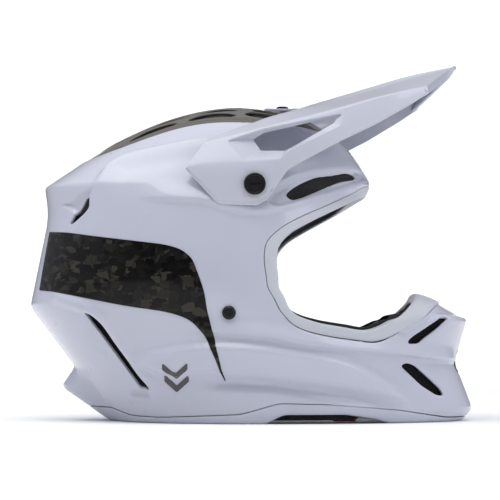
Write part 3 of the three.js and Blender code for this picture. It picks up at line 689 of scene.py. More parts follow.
def forged_carbon():
    """Chopped tow chips pressed flat under gloss: each chip has its own tone and lie."""
    look, nodes, links, bsdf, place = shader("forged_carbon", (0.02, 0.02, 0.018), 0.35, coat=0.3, coat_roughness=0.02)
    bsdf.inputs["Specular IOR Level"].default_value = 0.08
    bend = noise(nodes, links, place, 45, 2)
    mix = nodes.new("ShaderNodeMix")
    mix.data_type = "VECTOR"
    mix.inputs["Factor"].default_value = 0.007
    links.new(place.outputs["Object"], mix.inputs["A"])
    links.new(bend.outputs["Color"], mix.inputs["B"])
    squash = added(nodes, links, "Mapping", mix.outputs["Result"], Scale=(1.0, 0.35, 1.35))
    splits = []
    for scale, seed in CHIPS:
        shift = nodes.new("ShaderNodeVectorMath")
        shift.inputs[1].default_value = (seed, seed * 0.3, seed * 0.7)
        links.new(squash.outputs["Vector"], shift.inputs[0])
        chips = added(nodes, links, "TexVoronoi", shift.outputs["Vector"], Scale=scale)
        chips.distance = "CHEBYCHEV"
        split = nodes.new("ShaderNodeSeparateColor")
        links.new(chips.outputs["Color"], split.inputs["Color"])
        splits.append(split)
    large, small = splits
    over = nodes.new("ShaderNodeMix")
    links.new(ranged(nodes, links, large.outputs["Green"], 0, 1, 0.45, 0.55), over.inputs["Factor"])
    links.new(large.outputs["Red"], over.inputs["A"])
    links.new(small.outputs["Red"], over.inputs["B"])
    fibre = added(nodes, links, "TexWave", place.outputs["Object"], Scale=420, Distortion=6)
    streak = scaled_and_added(nodes, links, fibre.outputs["Fac"], 0.10, over.outputs["Result"])
    toned(nodes, links, streak, CHIP_TONES, bsdf.inputs["Base Color"])
    links.new(ranged(nodes, links, small.outputs["Blue"], 0.25, 0.6, 0, 1), bsdf.inputs["Roughness"])
    bumped(nodes, links, bsdf, over.outputs["Result"], 0.0002, 0.25)
    return look


def knitted(name, dark, light):
    """Wicking knit: small loops in rows, with sheen."""
    look, nodes, links, bsdf, place = shader(name, dark, 0.9)
    loops = added(nodes, links, "TexVoronoi", place.outputs["Object"], Scale=650, Randomness=0.35)
    cloud = noise(nodes, links, place, 35)
    fade = scaled_and_added(nodes, links, cloud.outputs["Fac"], 0.5, loops.outputs["Distance"])
    toned(nodes, links, fade, [(0.2, dark), (0.9, light)], bsdf.inputs["Base Color"])
    bsdf.inputs["Sheen Weight"].default_value = 0.35
    bumped(nodes, links, bsdf, loops.outputs["Distance"], 0.0005, 0.8)
    return look


def webbing(name, color):
    """Woven strap: diagonal ribs, dull with a little sheen."""
    look, nodes, links, bsdf, place = shader(name, color, 0.8)
    ribs = added(nodes, links, "TexWave", place.outputs["Object"], Scale=260, Distortion=0.6)
    ribs.bands_direction = "DIAGONAL"
    lighter = tuple(min(1, 1.9 * c) for c in color)
    toned(nodes, links, ribs.outputs["Fac"], [(0.1, color), (0.9, lighter)], bsdf.inputs["Base Color"])
    bsdf.inputs["Sheen Weight"].default_value = 0.25
    bumped(nodes, links, bsdf, ribs.outputs["Fac"], 0.0003, 0.7)
    return look


def brushed(name, color):
    look, nodes, links, bsdf, place = shader(name, color, 0.28, metallic=1.0)
    scratch = noise(nodes, links, place, 700, 4)
    links.new(ranged(nodes, links, scratch.outputs["Fac"], 0.18, 0.4), bsdf.inputs["Roughness"])
    bumped(nodes, links, bsdf, scratch.outputs["Fac"], 0.00002, 0.4)
    return look


LOOKS = {}
for making, rows in (
    (paint, (
        ("shell_paint", (0.505, 0.52, 0.61), 0.30, 1.0),
        ("visor_paint", (0.515, 0.53, 0.605), 0.34, 0.7),
        ("mark_paint", (0.05, 0.05, 0.053), 0.3, 1.0),
    )),
    (moulded, (
        ("edge_trim", (0.50, 0.52, 0.57), 0.38, 1500, 0.00002, 0.04),
        ("neck_edge", (0.50, 0.515, 0.60), 0.34, 1500, 0.00002, 0.04),
        ("smoked_plastic", (0.085, 0.077, 0.066), 0.12, 900, 0.00001, 0.2),
        ("vent_mesh", (0.006, 0.006, 0.0065), 0.5),
        ("black_hardware", (0.006, 0.006, 0.007), 0.36),
        ("rubber", (0.008, 0.008, 0.009), 0.7, 1400, 0.0001, 0.4),
        ("eps_foam", (0.012, 0.012, 0.013), 0.85, 700, 0.0004, 0.8),
        ("filter_foam", (0.02, 0.02, 0.022), 0.95, 900, 0.0006, 0.6),
        ("slip_layer", (0.62, 0.55, 0.08), 0.35, 500, 0.00002, 0.1),
    )),
    (knitted, (("liner_fabric", (0.010, 0.0105, 0.012), (0.028, 0.029, 0.033)),)),
    (webbing, (("strap_webbing", (0.014, 0.014, 0.016)), ("red_webbing", (0.22, 0.012, 0.016)))),
    (brushed, (("ring_steel", (0.62, 0.63, 0.65)),)),
):
    for row in rows:
        LOOKS[row[0]] = making(*row)
LOOKS["forged_carbon"] = forged_carbon()


# ---------- shell ----------
SHELL_COLUMNS = 600
SHELL_STEP = 1.5
SHELL_TOP = 301  # the last row of the shell's grid, inside the crown's opening
SHELL_LIP = 0.7  # the rims' rounding, kept inside the outlines
ROUND = 360 * PER_DEGREE


def fold(u):
    """Map column to the +Y half."""
    return np.minimum(u % ROUND, ROUND - u % ROUND)


def shell_cut(p):
    u, v = fold(p[..., 0]), p[..., 1]
    q = np.stack([u, v], -1)
    at = surface(u / PER_DEGREE, v)
    cut = within(q, eye_seam)
    for outline in side_vents.values():
        cut = np.maximum(cut, within(q, outline))
    cut = np.maximum(cut, within(q, mouth))
    cut = np.maximum(cut, edge_z(at[..., 0]) - at[..., 2])
    crown = within(at[..., :2], crown_line, FAR)
    cut = np.maximum(cut, np.where(v > 195, crown, -FAR))
    side = at[..., ::2]
    on_side = (u > 150) & (u < 220)
    for centre, radius in ((PIVOT, PIVOT_HOLE), ((RIVET["x"], RIVET["z"]), RIVET_HOLE)):
        hole = radius - np.linalg.norm(side - centre, axis=-1)
        cut = np.maximum(cut, np.where(on_side, np.maximum(hole, -FAR), -FAR))
    return cut + SHELL_LIP


def outer_shell():
    cols = np.arange(SHELL_COLUMNS) * ROUND / SHELL_COLUMNS
    rows = np.linspace(0, SHELL_TOP, round(SHELL_TOP / SHELL_STEP))
    p, quads, tris = trimmed(np.stack(np.meshgrid(cols, rows), -1), shell_cut, ROUND)
    points = shell_at(p[:, 0] / PER_DEGREE, p[:, 1])
    points, quads, tris, _ = compact(points, quads, tris)
    shell = make("helmet_shell", *thick(points, flip(quads), flip(tris), WALL, SHELL_LIP))
    finish(shell, LOOKS["shell_paint"], replaces=["outer_shell"])


# ---------- trims ----------
def ring_solid(sections, closed=True):
    """Quads through equal closed sections, joined in a loop."""
    count, size = sections.shape[:2]
    index = np.arange(count * size).reshape(count, size)
    along_ring = np.roll(index, -1, 0) if closed else index[1:]
    start = index if closed else index[:-1]
    faces = np.stack([start, np.roll(start, -1, 1), np.roll(along_ring, -1, 1), along_ring], -1)
    return sections.reshape(-1, 3), faces.reshape(-1, 4)


# (share from the seam to the inner edge, height over the form)
TRIM_SECTION = [
    (0.035, -3.2), (0.035, -0.9), (0.045, -0.3), (0.075, 0.05), (0.2, 0.35), (0.5, 0.7), (0.8, 0.6),
    (0.93, 0.25), (0.985, -0.5), (1.0, -1.6), (1.01, -4.5), (1.01, -7.6), (0.98, -8.6), (0.9, -9.0),
    (0.74, -8.8), (0.64, -7.0), (0.5, -4.4), (0.25, -3.4),
]


trim_seam, trim_inner = (map_curve(both_sides(half), 12) for half in (EYE_SEAM, EYE_INNER))


def eyeport_ring(name, share, height, sharp):
    """A ring round the eyeport with a section at shares from the seam to the inner edge, and heights over the form."""
    p = trim_seam[:, None] * (1 - share) + trim_inner[:, None] * share
    angle, v = p[..., 0] / PER_DEGREE, p[..., 1]
    points, faces = ring_solid(surface(angle, v) + normal(angle, v) * height[None, :, None])
    return make(name, points, faces, sharp=sharp)


def eyeport_trim():
    profile = spline(TRIM_SECTION, 2)
    trim = eyeport_ring("eyeport_trim_ring", profile[None, :, 0, None], profile[:, 1], 50)
    finish(trim, LOOKS["edge_trim"], replaces=["eyeport_trim"])


def eyeport_seal():
    """The black rubber edge that shows inside the trim along the jaw."""
    reach = 0.02 + 0.27 * (1 - smoothstep(88, 97, trim_inner[:, 1]))
    profile = spline([(0, -5.2), (0.9, -5.4), (1.0, -6.4), (0.9, -8.2), (0, -8.6), (-2, -7)], 3)
    out = profile[None, :, 0, None]
    seal = eyeport_ring(
        "eyeport_seal_edge", 0.97 + out * np.where(out > 0, reach[:, None, None], 0.1), profile[:, 1], 60)
    finish(seal, LOOKS["rubber"])


def neck_trim():
    angle = np.linspace(0, 360, 420, endpoint=False)
    folded = np.minimum(angle, 360 - angle)
    top = np.full(len(angle), 12.0)
    for _ in range(8):
        top = top + edge_z(surface(folded, top)[:, 0]) - surface(folded, top)[:, 2]
    low = np.maximum(arch_z(surface(folded, np.full(len(angle), 3.0))[:, 0]), 0)
    # (share from the top edge to the foot, height over the form)
    profile = spline([
        (0.0, -3.4), (0.0, -0.6), (0.06, -0.1), (0.3, 0.25), (0.7, 0.1), (0.9, -0.7), (1.0, -2.2), (1.0, -4.5),
        (1.0, -7.2), (0.9, -8.0), (0.6, -8.0), (0.3, -7.4), (0.1, -5.2),
    ], 2)
    share = profile[None, :, 0]
    v = (top - GAP)[:, None] * (1 - share) + low[:, None] * share
    a = angle[:, None] + 0 * share
    points = surface(a, v) + normal(a, v) * profile[None, :, 1, None] * [1, 1, 0]
    points[..., 2] = np.maximum(v, 0)
    points, faces = ring_solid(points)
    trim = make("neck_trim_ring", points, flip(faces), sharp=50)
    finish(trim, LOOKS["neck_edge"], replaces=["neck_trim"])


# ---------- carbon panels ----------
CARBON = [
    (21, 160), (37, 158), (51, 154), (67, 149), (75, 146), (79.5, 142), (82.3, 135), (83.2, 127), (84, 108),
    (83.2, 90), (82.4, 65), (82, 28), (81.6, 45), (80.8, 62), (79.8, 74), (77.5, 85), (73, 91), (61, 97),
    (45, 105), (34, 109), (21, 111),
]


def carbon_outline():
    """The corners stay sharp at the rear edge and at the tail's tip."""
    top = spline(on_map(CARBON[:12]), 6, closed=False)
    back = spline(on_map(CARBON[11:]), 6, closed=False)
    return np.concatenate([top, back[1:]])


def both_panels(name, grid, cut, look, out, wall, lip):
    """A thin panel on each side of the painted shell, its face out millimetres over the paint."""
    p, quads, tris = trimmed(grid, cut)
    points = shell_at(p[:, 0] / PER_DEGREE, p[:, 1], out)
    spots, quads, tris, _ = compact(points, quads, tris)
    for side, sheet in (("left", (spots, flip(quads), flip(tris))), ("right", (mirrored(spots), quads, tris))):
        finish(make(f"{name}_{side}", *thick(*sheet, wall, lip)), LOOKS[look])


def carbon_panels():
    outline = carbon_outline()
    grid = lattice((38, 22), (172, 164), 1.3, 0.55)
    both_panels("carbon_panel", grid, lambda q: -within(q, outline), "forged_carbon", 0.5, 1.0, 0.2)


# ---------- crown insert ----------
CROWN_STEP = 1.3
CROWN_WALL = 2.1
CROWN_LIP = 0.5
CROWN_SUNK = 0.9  # below the outer form
SLOT_HALF = 4.8
SLOTS = [  # (rear end, front end, distance from the middle)
    (-124, -98, 12), (-118, -94, 30), (-84, -52, 12), (-84, -52, 30), (-100, -62, 48),
    (-40, -8, 12), (-40, -10, 30), (-50, -12, 48), (4, 48, 26), (-2, 34, 44),
]


def polar(p):
    """Angle and length up the wall for a point of a flat map round the crown's top."""
    r = np.hypot(p[..., 0], p[..., 1])
    angle = np.degrees(np.arctan2(p[..., 1], -p[..., 0])) % 360
    return angle, CROWN - r


def crown_cut(p):
    angle, v = polar(p)
    at = surface(angle, np.minimum(v, POLE))[..., :2]
    cut = -within(at, grown(crown_line, -GAP), FAR)
    for low, high, y in SLOTS:
        for side in (-1, 1):
            right, left = side * y - SLOT_HALF, side * y + SLOT_HALF
            outline = [
                (low + 2, right), (high - 7, right), (high, side * y), (high - 7, left), (low + 2, left),
                (low - 3, side * y),
            ]
            cut = np.maximum(cut, within(at, spline(outline, 5)))
    screw_slot = [(-13, -2.6), (0, -3.1), (13, -2.6), (14, 0), (13, 2.6), (0, 3.1), (-13, 2.6), (-14, 0)]
    slot = spline([(MIDDLE_SCREW_X + x, y) for x, y in screw_slot], 4)
    return np.maximum(cut, within(at, slot)) + CROWN_LIP


def crown_relief(at):
    """Ribs between the rows of slots."""
    y = np.abs(at[..., 1])
    rib = sum(smoothstep(0, 3, 3.6 - np.abs(y - line)) for line in (21, 39, 56)) * 0.9
    groove = -0.9 * smoothstep(0, 2.5, 3.0 - np.abs(y - 3.5))
    relief = (rib + groove) * smoothstep(-135, -115, at[..., 0]) * (1 - smoothstep(45, 62, at[..., 0]))
    # The dip leaves room for the visor's tongue at the low end of its tilt.
    return relief - 1.3 * np.exp(-((at[..., 0] - 7) / 10) ** 2 - (y / 13) ** 2)


def crown_insert():
    p, quads, tris = trimmed(lattice((-150, -110), (150, 110), CROWN_STEP, CROWN_STEP), crown_cut)
    angle, v = polar(p)
    v = np.minimum(v, POLE)
    n = normal(angle, np.minimum(v, NORMAL_TOP))
    at = surface(angle, v)
    points = at + n * (crown_relief(at) - CROWN_SUNK)[:, None]
    points, quads, tris, _ = compact(points, quads, tris)
    insert = make("crown_insert", *thick(points, quads, tris, CROWN_WALL, CROWN_LIP))
    finish(insert, LOOKS["smoked_plastic"], replaces=["crown_vent_insert"])


# ---------- visor ----------
# The lines run from the rear to the front edge: a side's lower edge first, the middle last.
VISOR_LINES = [
    [
        (-52, 120, 209), (-26, PLATE_Y, 180), (6, PLATE_Y, 179), (14, PLATE_Y - 0.5, 184), (31, 117, 209),
        (74, 106, 233), (104, 98, 248), (131, 89, 264), (148, 81, 275),
    ],
    [
        (-50, 119, 212), (-25, PLATE_Y, 211), (4, PLATE_Y, 211), (19, 120, 215), (36, 113.5, 228),
        (75, 102, 246), (104, 94.5, 258), (129.5, 86.5, 270), (147.6, 79.6, 277.4),
    ],
    [
        (-37, 109, 231), (-20, 109, 235), (5, 108, 241.5), (19, 106.5, 245), (41, 102, 251),
        (76, 96, 261), (104, 90, 269.5), (128, 83.5, 275.5), (147, 78, 280),
    ],
    [
        (-34, 103, 234), (-19, 93, 241), (-2, 82, 248), (14, 70, 255), (36, 58, 261.5),
        (70, 46, 269.5), (98, 34, 279), (134, 20, 291.5), (171, 11, 301.5),
    ],
    [
        (-14, 13, 269.4), (-2, 12, 268.6), (14, 11, 267.4), (26, 15, 266.8), (40, 20, 266.5),
        (74, 18, 276.5), (102, 15, 285), (136, 10, 295.5), (175.6, 7, 303.6),
    ],
    [
        (-14, 0, 270), (-2, 0, 269.2), (14, 0, 268), (26, 0, 267.4), (41, 0, 267.8),
        (75, 0, 277.5), (103, 0, 286), (137, 0, 296.5), (176.8, 0, 304.3),
    ],
]
LINE_CORNERS = (0.16, 0.22, 0.3, 0.5, 0.5, 0.5)  # corner radius along each line, in stretches
FOLD_CORNERS = (0.45, 0.10, 0.22, 0.3)  # radius of the fold at lines 1 to 4
# Side view of the window's rim and of the hole at the bottom of its bevel, corner by corner, and the bevel's depth.
WINDOW_RIM = [(-18, 232), (12, 242.4), (75.5, 255.2), (73.7, 245.3), (31, 224), (24.8, 217), (-5.3, 216)]
WINDOW_HOLE = [(2.6, 233.5), (11, 239), (72, 253.6), (69.4, 247.7), (33, 226), (28, 224), (8.8, 224)]
WINDOW_DEPTH = [7.5, 6.5, 3.0, 2.6, 3.6, 7.0, 8.0]
TONGUE_GAP = [
    (-70, 0), (13, 0), (14, 8), (17, 12), (26, 15.5), (36, 21), (40, 32), (38, 46), (31, 57), (14, 70), (-2, 82),
    (-19, 93), (-34, 103), (-70, 112),
]
VISOR_END = len(VISOR_LINES[0]) - 1  # stretches from the rear to the front edge
VISOR_MIDDLE = len(VISOR_LINES) - 1  # stretches from a side's lower edge to the middle
VISOR_LIP = 0.6
visor_curves = [
    [rounded([(i, point[axis], corner) for i, point in enumerate(line)]) for axis in range(3)]
    for line, corner in zip(VISOR_LINES, LINE_CORNERS)
]


def from_side(t):
    """Stretches across, from the nearer side's lower edge."""
    return np.where(t > VISOR_MIDDLE, 2 * VISOR_MIDDLE - t, t)


def visor_at(p):
    """(along, across) to a point: across is 0 at the left side's lower edge and largest at the right side's."""
    s = p[..., 0]
    side = np.where(p[..., 1] > VISOR_MIDDLE, -1.0, 1.0)
    t = from_side(p[..., 1])
    lines = [np.stack([curve(s) for curve in axes], -1) for axes in visor_curves]
    out = lines[0] + (lines[1] - lines[0]) * t[..., None]
    for i in range(1, VISOR_MIDDLE):
        bend = (lines[i + 1] - lines[i]) - (lines[i] - lines[i - 1])
        out = out + bend * ramp(t - i, FOLD_CORNERS[i - 1])[..., None]
    out[..., 1] *= side
    return out


WINDOW_CORNER = 1.6
window_rim = corners_rounded(WINDOW_RIM, WINDOW_CORNER)
tongue_gap = corners_rounded(TONGUE_GAP, 3)


def visor_cut(p):
    at = visor_at(np.stack([np.minimum(p[..., 0], VISOR_END), p[..., 1]], -1))
    at[..., 1] = np.abs(at[..., 1])
    side, plan = at[..., ::2], at[..., :2]
    holes = np.maximum(within(side, window_rim), PIVOT_HOLE - np.linalg.norm(side - PIVOT, axis=-1))
    cut = np.where(at[..., 1] > 70, holes, -14)
    cut = np.maximum(cut, within(plan, tongue_gap))
    return np.maximum(cut, MIDDLE_HOLE - np.linalg.norm(plan - [MIDDLE_SCREW_X, 0], axis=-1)) + VISOR_LIP


FRONT_LIP = 9.0
LIP_STRETCH = 0.3  # stretches past the front edge that the lip takes


def visor_sheet(p):
    """The visor's points; past the front edge the sheet turns down into a lip, deepest halfway to the tip."""
    s, t = p[..., 0], from_side(p[..., 1])
    points = visor_at(np.stack([np.minimum(s, VISOR_END), p[..., 1]], -1))
    depth = FRONT_LIP * smoothstep(0.2, 2.6, t) * (1 - smoothstep(3.0, 4.9, t))
    past = np.maximum(s - VISOR_END, 0) / LIP_STRETCH
    return points + (past * depth)[..., None] * [-0.25, 0, -1]


def visor():
    grid = lattice((0, 0), (VISOR_END, 2 * VISOR_MIDDLE), 2 * VISOR_MIDDLE / 200, VISOR_END / 190)
    lip_rows = grid[:, -1:, :] + np.array([LIP_STRETCH / 3, 0]) * np.arange(1, 4)[None, :, None]
    p, quads, tris = trimmed(np.concatenate([grid, lip_rows], 1), visor_cut)
    points, quads, tris, used = compact(visor_sheet(p), flip(quads), flip(tris))
    p = p[used]
    n = vertex_normals(points, quads, tris)
    # A narrow step inwards along the lower edge of each side plate.
    step_in = 0.8 * (1 - smoothstep(0.11, 0.15, from_side(p[:, 1]))) * (p[:, 0] < 3.2)
    points = points - n * step_in[:, None]
    shape = make("visor_peak", *thick(points, quads, tris, VISOR_WALL, VISOR_LIP), sharp=38)
    finish(shape, LOOKS["visor_paint"], "visor_assembly", ["visor"])
    window_bevels()


def on_visor(side):
    """Distances out along Y of the visor's side at points of the side view."""
    grid = lattice((0.3, 0.6), (6.9, 2.35), 0.02, 0.03).reshape(-1, 2)
    at = visor_at(grid)[:, ::2]
    p = np.array([grid[np.argmin(np.hypot(*(at - spot).T))] for spot in side])
    tiny = 1e-3
    for _ in range(4):
        here = visor_at(p)
        gap = here[:, ::2] - side
        ds = (visor_at(p + [tiny, 0]) - here)[:, ::2] / tiny
        dt = (visor_at(p + [0, tiny]) - here)[:, ::2] / tiny
        area = ds[:, 0] * dt[:, 1] - ds[:, 1] * dt[:, 0]
        move = np.stack([
            gap[:, 0] * dt[:, 1] - gap[:, 1] * dt[:, 0], ds[:, 0] * gap[:, 1] - ds[:, 1] * gap[:, 0],
        ], -1) / area[:, None]
        p = p - np.clip(move, -0.2, 0.2)
    return visor_at(p)[:, 1]


def split_up(line, parts):
    """Each stretch of a closed line cut into equal parts."""
    line = np.asarray(line, float)
    nxt = np.roll(line, -1, 0)
    t = (np.arange(parts) / parts)[None, :, None]
    return (line[:, None] * (1 - t) + nxt[:, None] * t).reshape(-1, line.shape[1])


def facing_out(points, faces):
    a, b, c = points[faces[:, 0]], points[faces[:, 1]], points[faces[:, 2]]
    d = points[faces[:, 3]]
    volume = np.sum(a * np.cross(b, c)) + np.sum(a * np.cross(c, d))
    return faces if volume > 0 else flip(faces)


def window_bevels():
    """The funnel from each window's rim down to its hole, with crisp edges."""
    steps = 4
    parts = 6
    rim = split_up(corners_rounded(WINDOW_RIM, WINDOW_CORNER, steps), parts)
    hole = split_up(corners_rounded(WINDOW_HOLE, WINDOW_CORNER, steps), parts)
    depth = split_up(np.repeat(WINDOW_DEPTH, steps + 1)[:, None], parts)[:, 0]
    middle = hole.mean(0)
    outer = rim + (rim - middle) / np.linalg.norm(rim - middle, axis=1, keepdims=True) * 0.5
    top = on_visor(outer)
    low = on_visor(hole) - depth

    def ring(side, y):
        return np.stack([side[:, 0], y, side[:, 1]], -1)

    sections = [ring(outer, top - 0.55), ring(hole, low), ring(hole, low - 2.2), ring(outer, top - 2.6)]
    points, faces = ring_solid(np.stack(sections, 1))
    for side, spots in (("left", points), ("right", mirrored(points))):
        bevel = make("visor_window_bevel_" + side, spots, facing_out(spots, faces), sharp=30)
        finish(bevel, LOOKS["visor_paint"], "visor_assembly")


# ---------- grilles ----------
def mesh_wires(name, at, outline, cell, wire, look, body="helmet", replaces=()):
    """A diamond mesh of wires over an outline of the map; at gives the points of its plane."""
    low, high = outline.min(0) - cell, outline.max(0) + cell
    cols = np.arange(low[0], high[0], cell / 2)
    rows = np.arange(low[1], high[1], cell / 2)
    points = np.stack(np.meshgrid(cols, rows), -1)
    inside = within(points, outline) > -0.2
    index = np.arange(inside.size).reshape(inside.shape)
    quads = [
        (index[j, i - 1], index[j - 1, i], index[j, i + 1], index[j + 1, i])
        for j in range(1, len(rows) - 1)
        for i in range(1 + j % 2, len(cols) - 1, 2)
        if inside[j, i - 1] and inside[j - 1, i] and inside[j, i + 1] and inside[j + 1, i]
    ]
    flat = points.reshape(-1, 2)
    spots, quads, _, _ = compact(at(flat), np.array(quads), np.zeros((0, 3), int))
    grille = make(name, spots, quads)
    wires = grille.modifiers.new("wires", "WIREFRAME")
    wires.thickness = wire * MM
    wires.use_even_offset = False
    return finish(grille, look, body, replaces)


def at_inset(inset, side=1.0):
    def at(p):
        return shell_at(p[..., 0] / PER_DEGREE, p[..., 1], -inset) * [1, side, 1]

    return at


def vent_grilles():
    for name, outline in side_vents.items():
        for side, sign in SIDES:
            node = name + "_" + side
            mesh_wires(node.replace("_mesh", "_grille"), at_inset(3.9, sign), grown(outline, 1.6), 2.3, 0.75,
                       LOOKS["vent_mesh"], replaces=[node])


def mouth_vent():
    """A frame and a wide mesh flush with the chin, and the foam filter behind them."""
    mesh_wires("mouth_grille", at_inset(1.3), grown(mouth, -0.6), 5.2, 1.5, LOOKS["vent_mesh"],
               replaces=["mouth_vent_grille"])
    line = grown(mouth, -0.9)
    profile = [(0, -0.3), (0.3, 0), (2.4, 0), (2.8, -0.4), (2.8, -2.6), (0, -2.6)]
    rings = [at_inset(0.2 - out)(grown(mouth, -0.9 - move)) for move, out in profile]
    points, faces = ring_solid(np.stack(rings, 1))
    frame_ring = make("mouth_grille_frame", points, faces, sharp=40)
    finish(frame_ring, LOOKS["vent_mesh"])
    grid = lattice(line.min(0) - 2, line.max(0) + 2, 1.6, 1.6)
    p, quads, tris = trimmed(grid, lambda q: -within(q, line))
    front, q, t, _ = compact(at_inset(6.0)(p), quads, tris)
    back = compact(surface(p[:, 0] / PER_DEGREE, p[:, 1], 9.8), quads, tris)[0]
    pad = make("mouth_filter", *closed(front, back, flip(q), flip(t)), sharp=50)
    finish(pad, LOOKS["filter_foam"], replaces=["mouth_vent_filter"])


# ---------- liners ----------
def dome_hit(points, out):
    """Points moved towards the head's middle onto the dome round the head, grown by out."""
    centre = np.array([HEAD["x"], 0, HEAD["mid"]])
    away = points - centre
    high = np.array([HEAD["half_x"] + out, HEAD["half_y"] + out, HEAD["top"] + out - HEAD["mid"]])
    level = away.copy()
    level[:, 2] = np.maximum(level[:, 2], 0)
    r = np.linalg.norm(level / high, axis=1, keepdims=True)
    moved = level / np.maximum(r, 1e-6)
    moved[:, 2] += np.minimum(away[:, 2], 0)
    return centre + moved


EPS_INSET = 5.2  # from the outer form to the foam liner
LINING_COLUMNS = 260


def lining(name, look, node, outer, inner, lowest, step=2.6):
    """A layer of the head's lining between two functions of the form's points, down to the eyeport and a level."""
    seam = grown(eye_seam, 2.0)

    def cut(p):
        flat = p.reshape(-1, 2)
        u = fold(flat[:, 0])
        q = np.stack([u, flat[:, 1]], -1)
        v = np.minimum(flat[:, 1], POLE)
        at = surface(u / PER_DEGREE, v)
        value = np.maximum(within(q, seam, FAR), lowest - outer(at, u / PER_DEGREE, v)[:, 2])
        return value.reshape(p.shape[:-1])

    cols = np.arange(LINING_COLUMNS) * ROUND / LINING_COLUMNS
    rows = np.linspace(60, CROWN - 0.8, round((CROWN - 60) / step))
    p, quads, tris = trimmed(np.stack(np.meshgrid(cols, rows), -1), cut, ROUND)
    angle, v = p[:, 0] / PER_DEGREE, p[:, 1]
    at = surface(angle, v)
    # The last row of the grid closes to a point.
    index = np.arange(len(cols)) + len(p) - len(cols)
    top = at[-len(cols):].mean(0, keepdims=True)
    at = np.concatenate([at, top])
    angle = np.append(angle, 0.0)
    v = np.append(v, POLE)
    cap = np.stack([index, np.roll(index, -1), np.full(len(index), len(p))], -1)
    tris = np.concatenate([tris, cap])
    front, back = outer(at, angle, v), inner(at, angle, v)
    front, q, t, _ = compact(front, quads, tris)
    back = compact(back, quads, tris)[0]
    layer = make(name, *closed(front, back, flip(q), flip(t)), sharp=45)
    return finish(layer, look, replaces=[node])


def liners():
    def inset_form(at, angle, v):
        return at - normal(angle, np.minimum(v, NORMAL_TOP)) * EPS_INSET

    def on_dome(out):
        return lambda at, _angle, _v: dome_hit(at, out)

    def quilted(at, _angle, _v):
        """The fabric's inner face: sewn channels from front to rear and round the brow."""
        inner = dome_hit(at, 0.6)
        y, x = inner[:, 1], inner[:, 0]
        channel = np.minimum.reduce([np.abs(np.abs(y) - line) for line in (14.0, 42.0)])
        ring = np.abs(inner[:, 2] - 150)
        sewn = 2.2 * np.exp(-((channel / 3.0) ** 2)) * (inner[:, 2] > 150) + 2.4 * np.exp(-((ring / 3.4) ** 2))
        puff = 1.2 * np.cos(y / 28 * 2 * math.pi) * smoothstep(160, 190, inner[:, 2]) + 0.4 * np.cos(x / 9)
        toward = np.array([HEAD["x"], 0, HEAD["mid"]]) - inner
        toward /= np.maximum(np.linalg.norm(toward, axis=1, keepdims=True), 1e-6)
        return inner + toward * (0.5 * puff - sewn)[:, None]

    lining("foam_liner", LOOKS["eps_foam"], "eps_liner", inset_form, on_dome(10.2), 100)
    lining("slip_layer", LOOKS["slip_layer"], "slip_liner", on_dome(9.7), on_dome(8.6), 112)
    fabric = lining(
        "comfort_fabric", LOOKS["liner_fabric"], "comfort_liner", on_dome(8.0), quilted, 106, 1.8)


def face_hit(points, out):
    """Points moved level towards the head's middle onto the plan ellipse of the face."""
    level = (points - [HEAD["x"], 0, 0]) * [1, 1, 0]
    r = np.linalg.norm(level / [FACE["half_x"] + out, FACE["half_y"] + out, 1], axis=-1, keepdims=True)
    return [HEAD["x"], 0, 0] + level / np.maximum(r, 1e-6) + points * [0, 0, 1]


CHIN_INSET = 10.6  # from the outer form to the chin bar's foam
CHIN_SIDE = [
    (93, 20), (93, 50), (112, 52), (134, 62), (150, 76), (168, 88), (200, 96), (200, 14), (130, 18),
]


def chin_foam():
    outline = corners_rounded(CHIN_SIDE, 6)
    seam = grown(eye_seam, 2)

    def cut(p):
        u = fold(p[..., 0])
        at = surface(u / PER_DEGREE, p[..., 1], CHIN_INSET)
        q = np.stack([u, p[..., 1]], -1)
        return np.maximum.reduce([
            -within(at[..., ::2], outline, FAR), within(q, seam), within(q, grown(mouth, 1.0)),
        ])

    p, quads, tris = trimmed(lattice((200, 8), (520, 110), 1.8, 1.8), cut)
    front = surface(p[:, 0] / PER_DEGREE, p[:, 1], CHIN_INSET)
    front, q, t, _ = compact(front, quads, tris)
    foam = make("chin_pad_foam", *closed(front, face_hit(front, 1.5), flip(q), flip(t)), sharp=40)
    finish(foam, LOOKS["eps_foam"], replaces=["chin_foam"])


# ---------- cheek pads and neck roll ----------
VOXEL = 3.2
SHRINK = 1.6  # how much smaller a pad starts than its solid, all round
MOST = 4.0  # how far its cloth may move
PROUD = 0.6  # how far it may stand out of the solid's box


def read(mesh, what):
    values = np.zeros(len(mesh.vertices) * 3, np.float32)
    mesh.vertices.foreach_get(what, values)
    return values.reshape(-1, 3).astype(float)


def write(mesh, points):
    mesh.vertices.foreach_set("co", points.astype(np.float32).ravel())
    mesh.update()


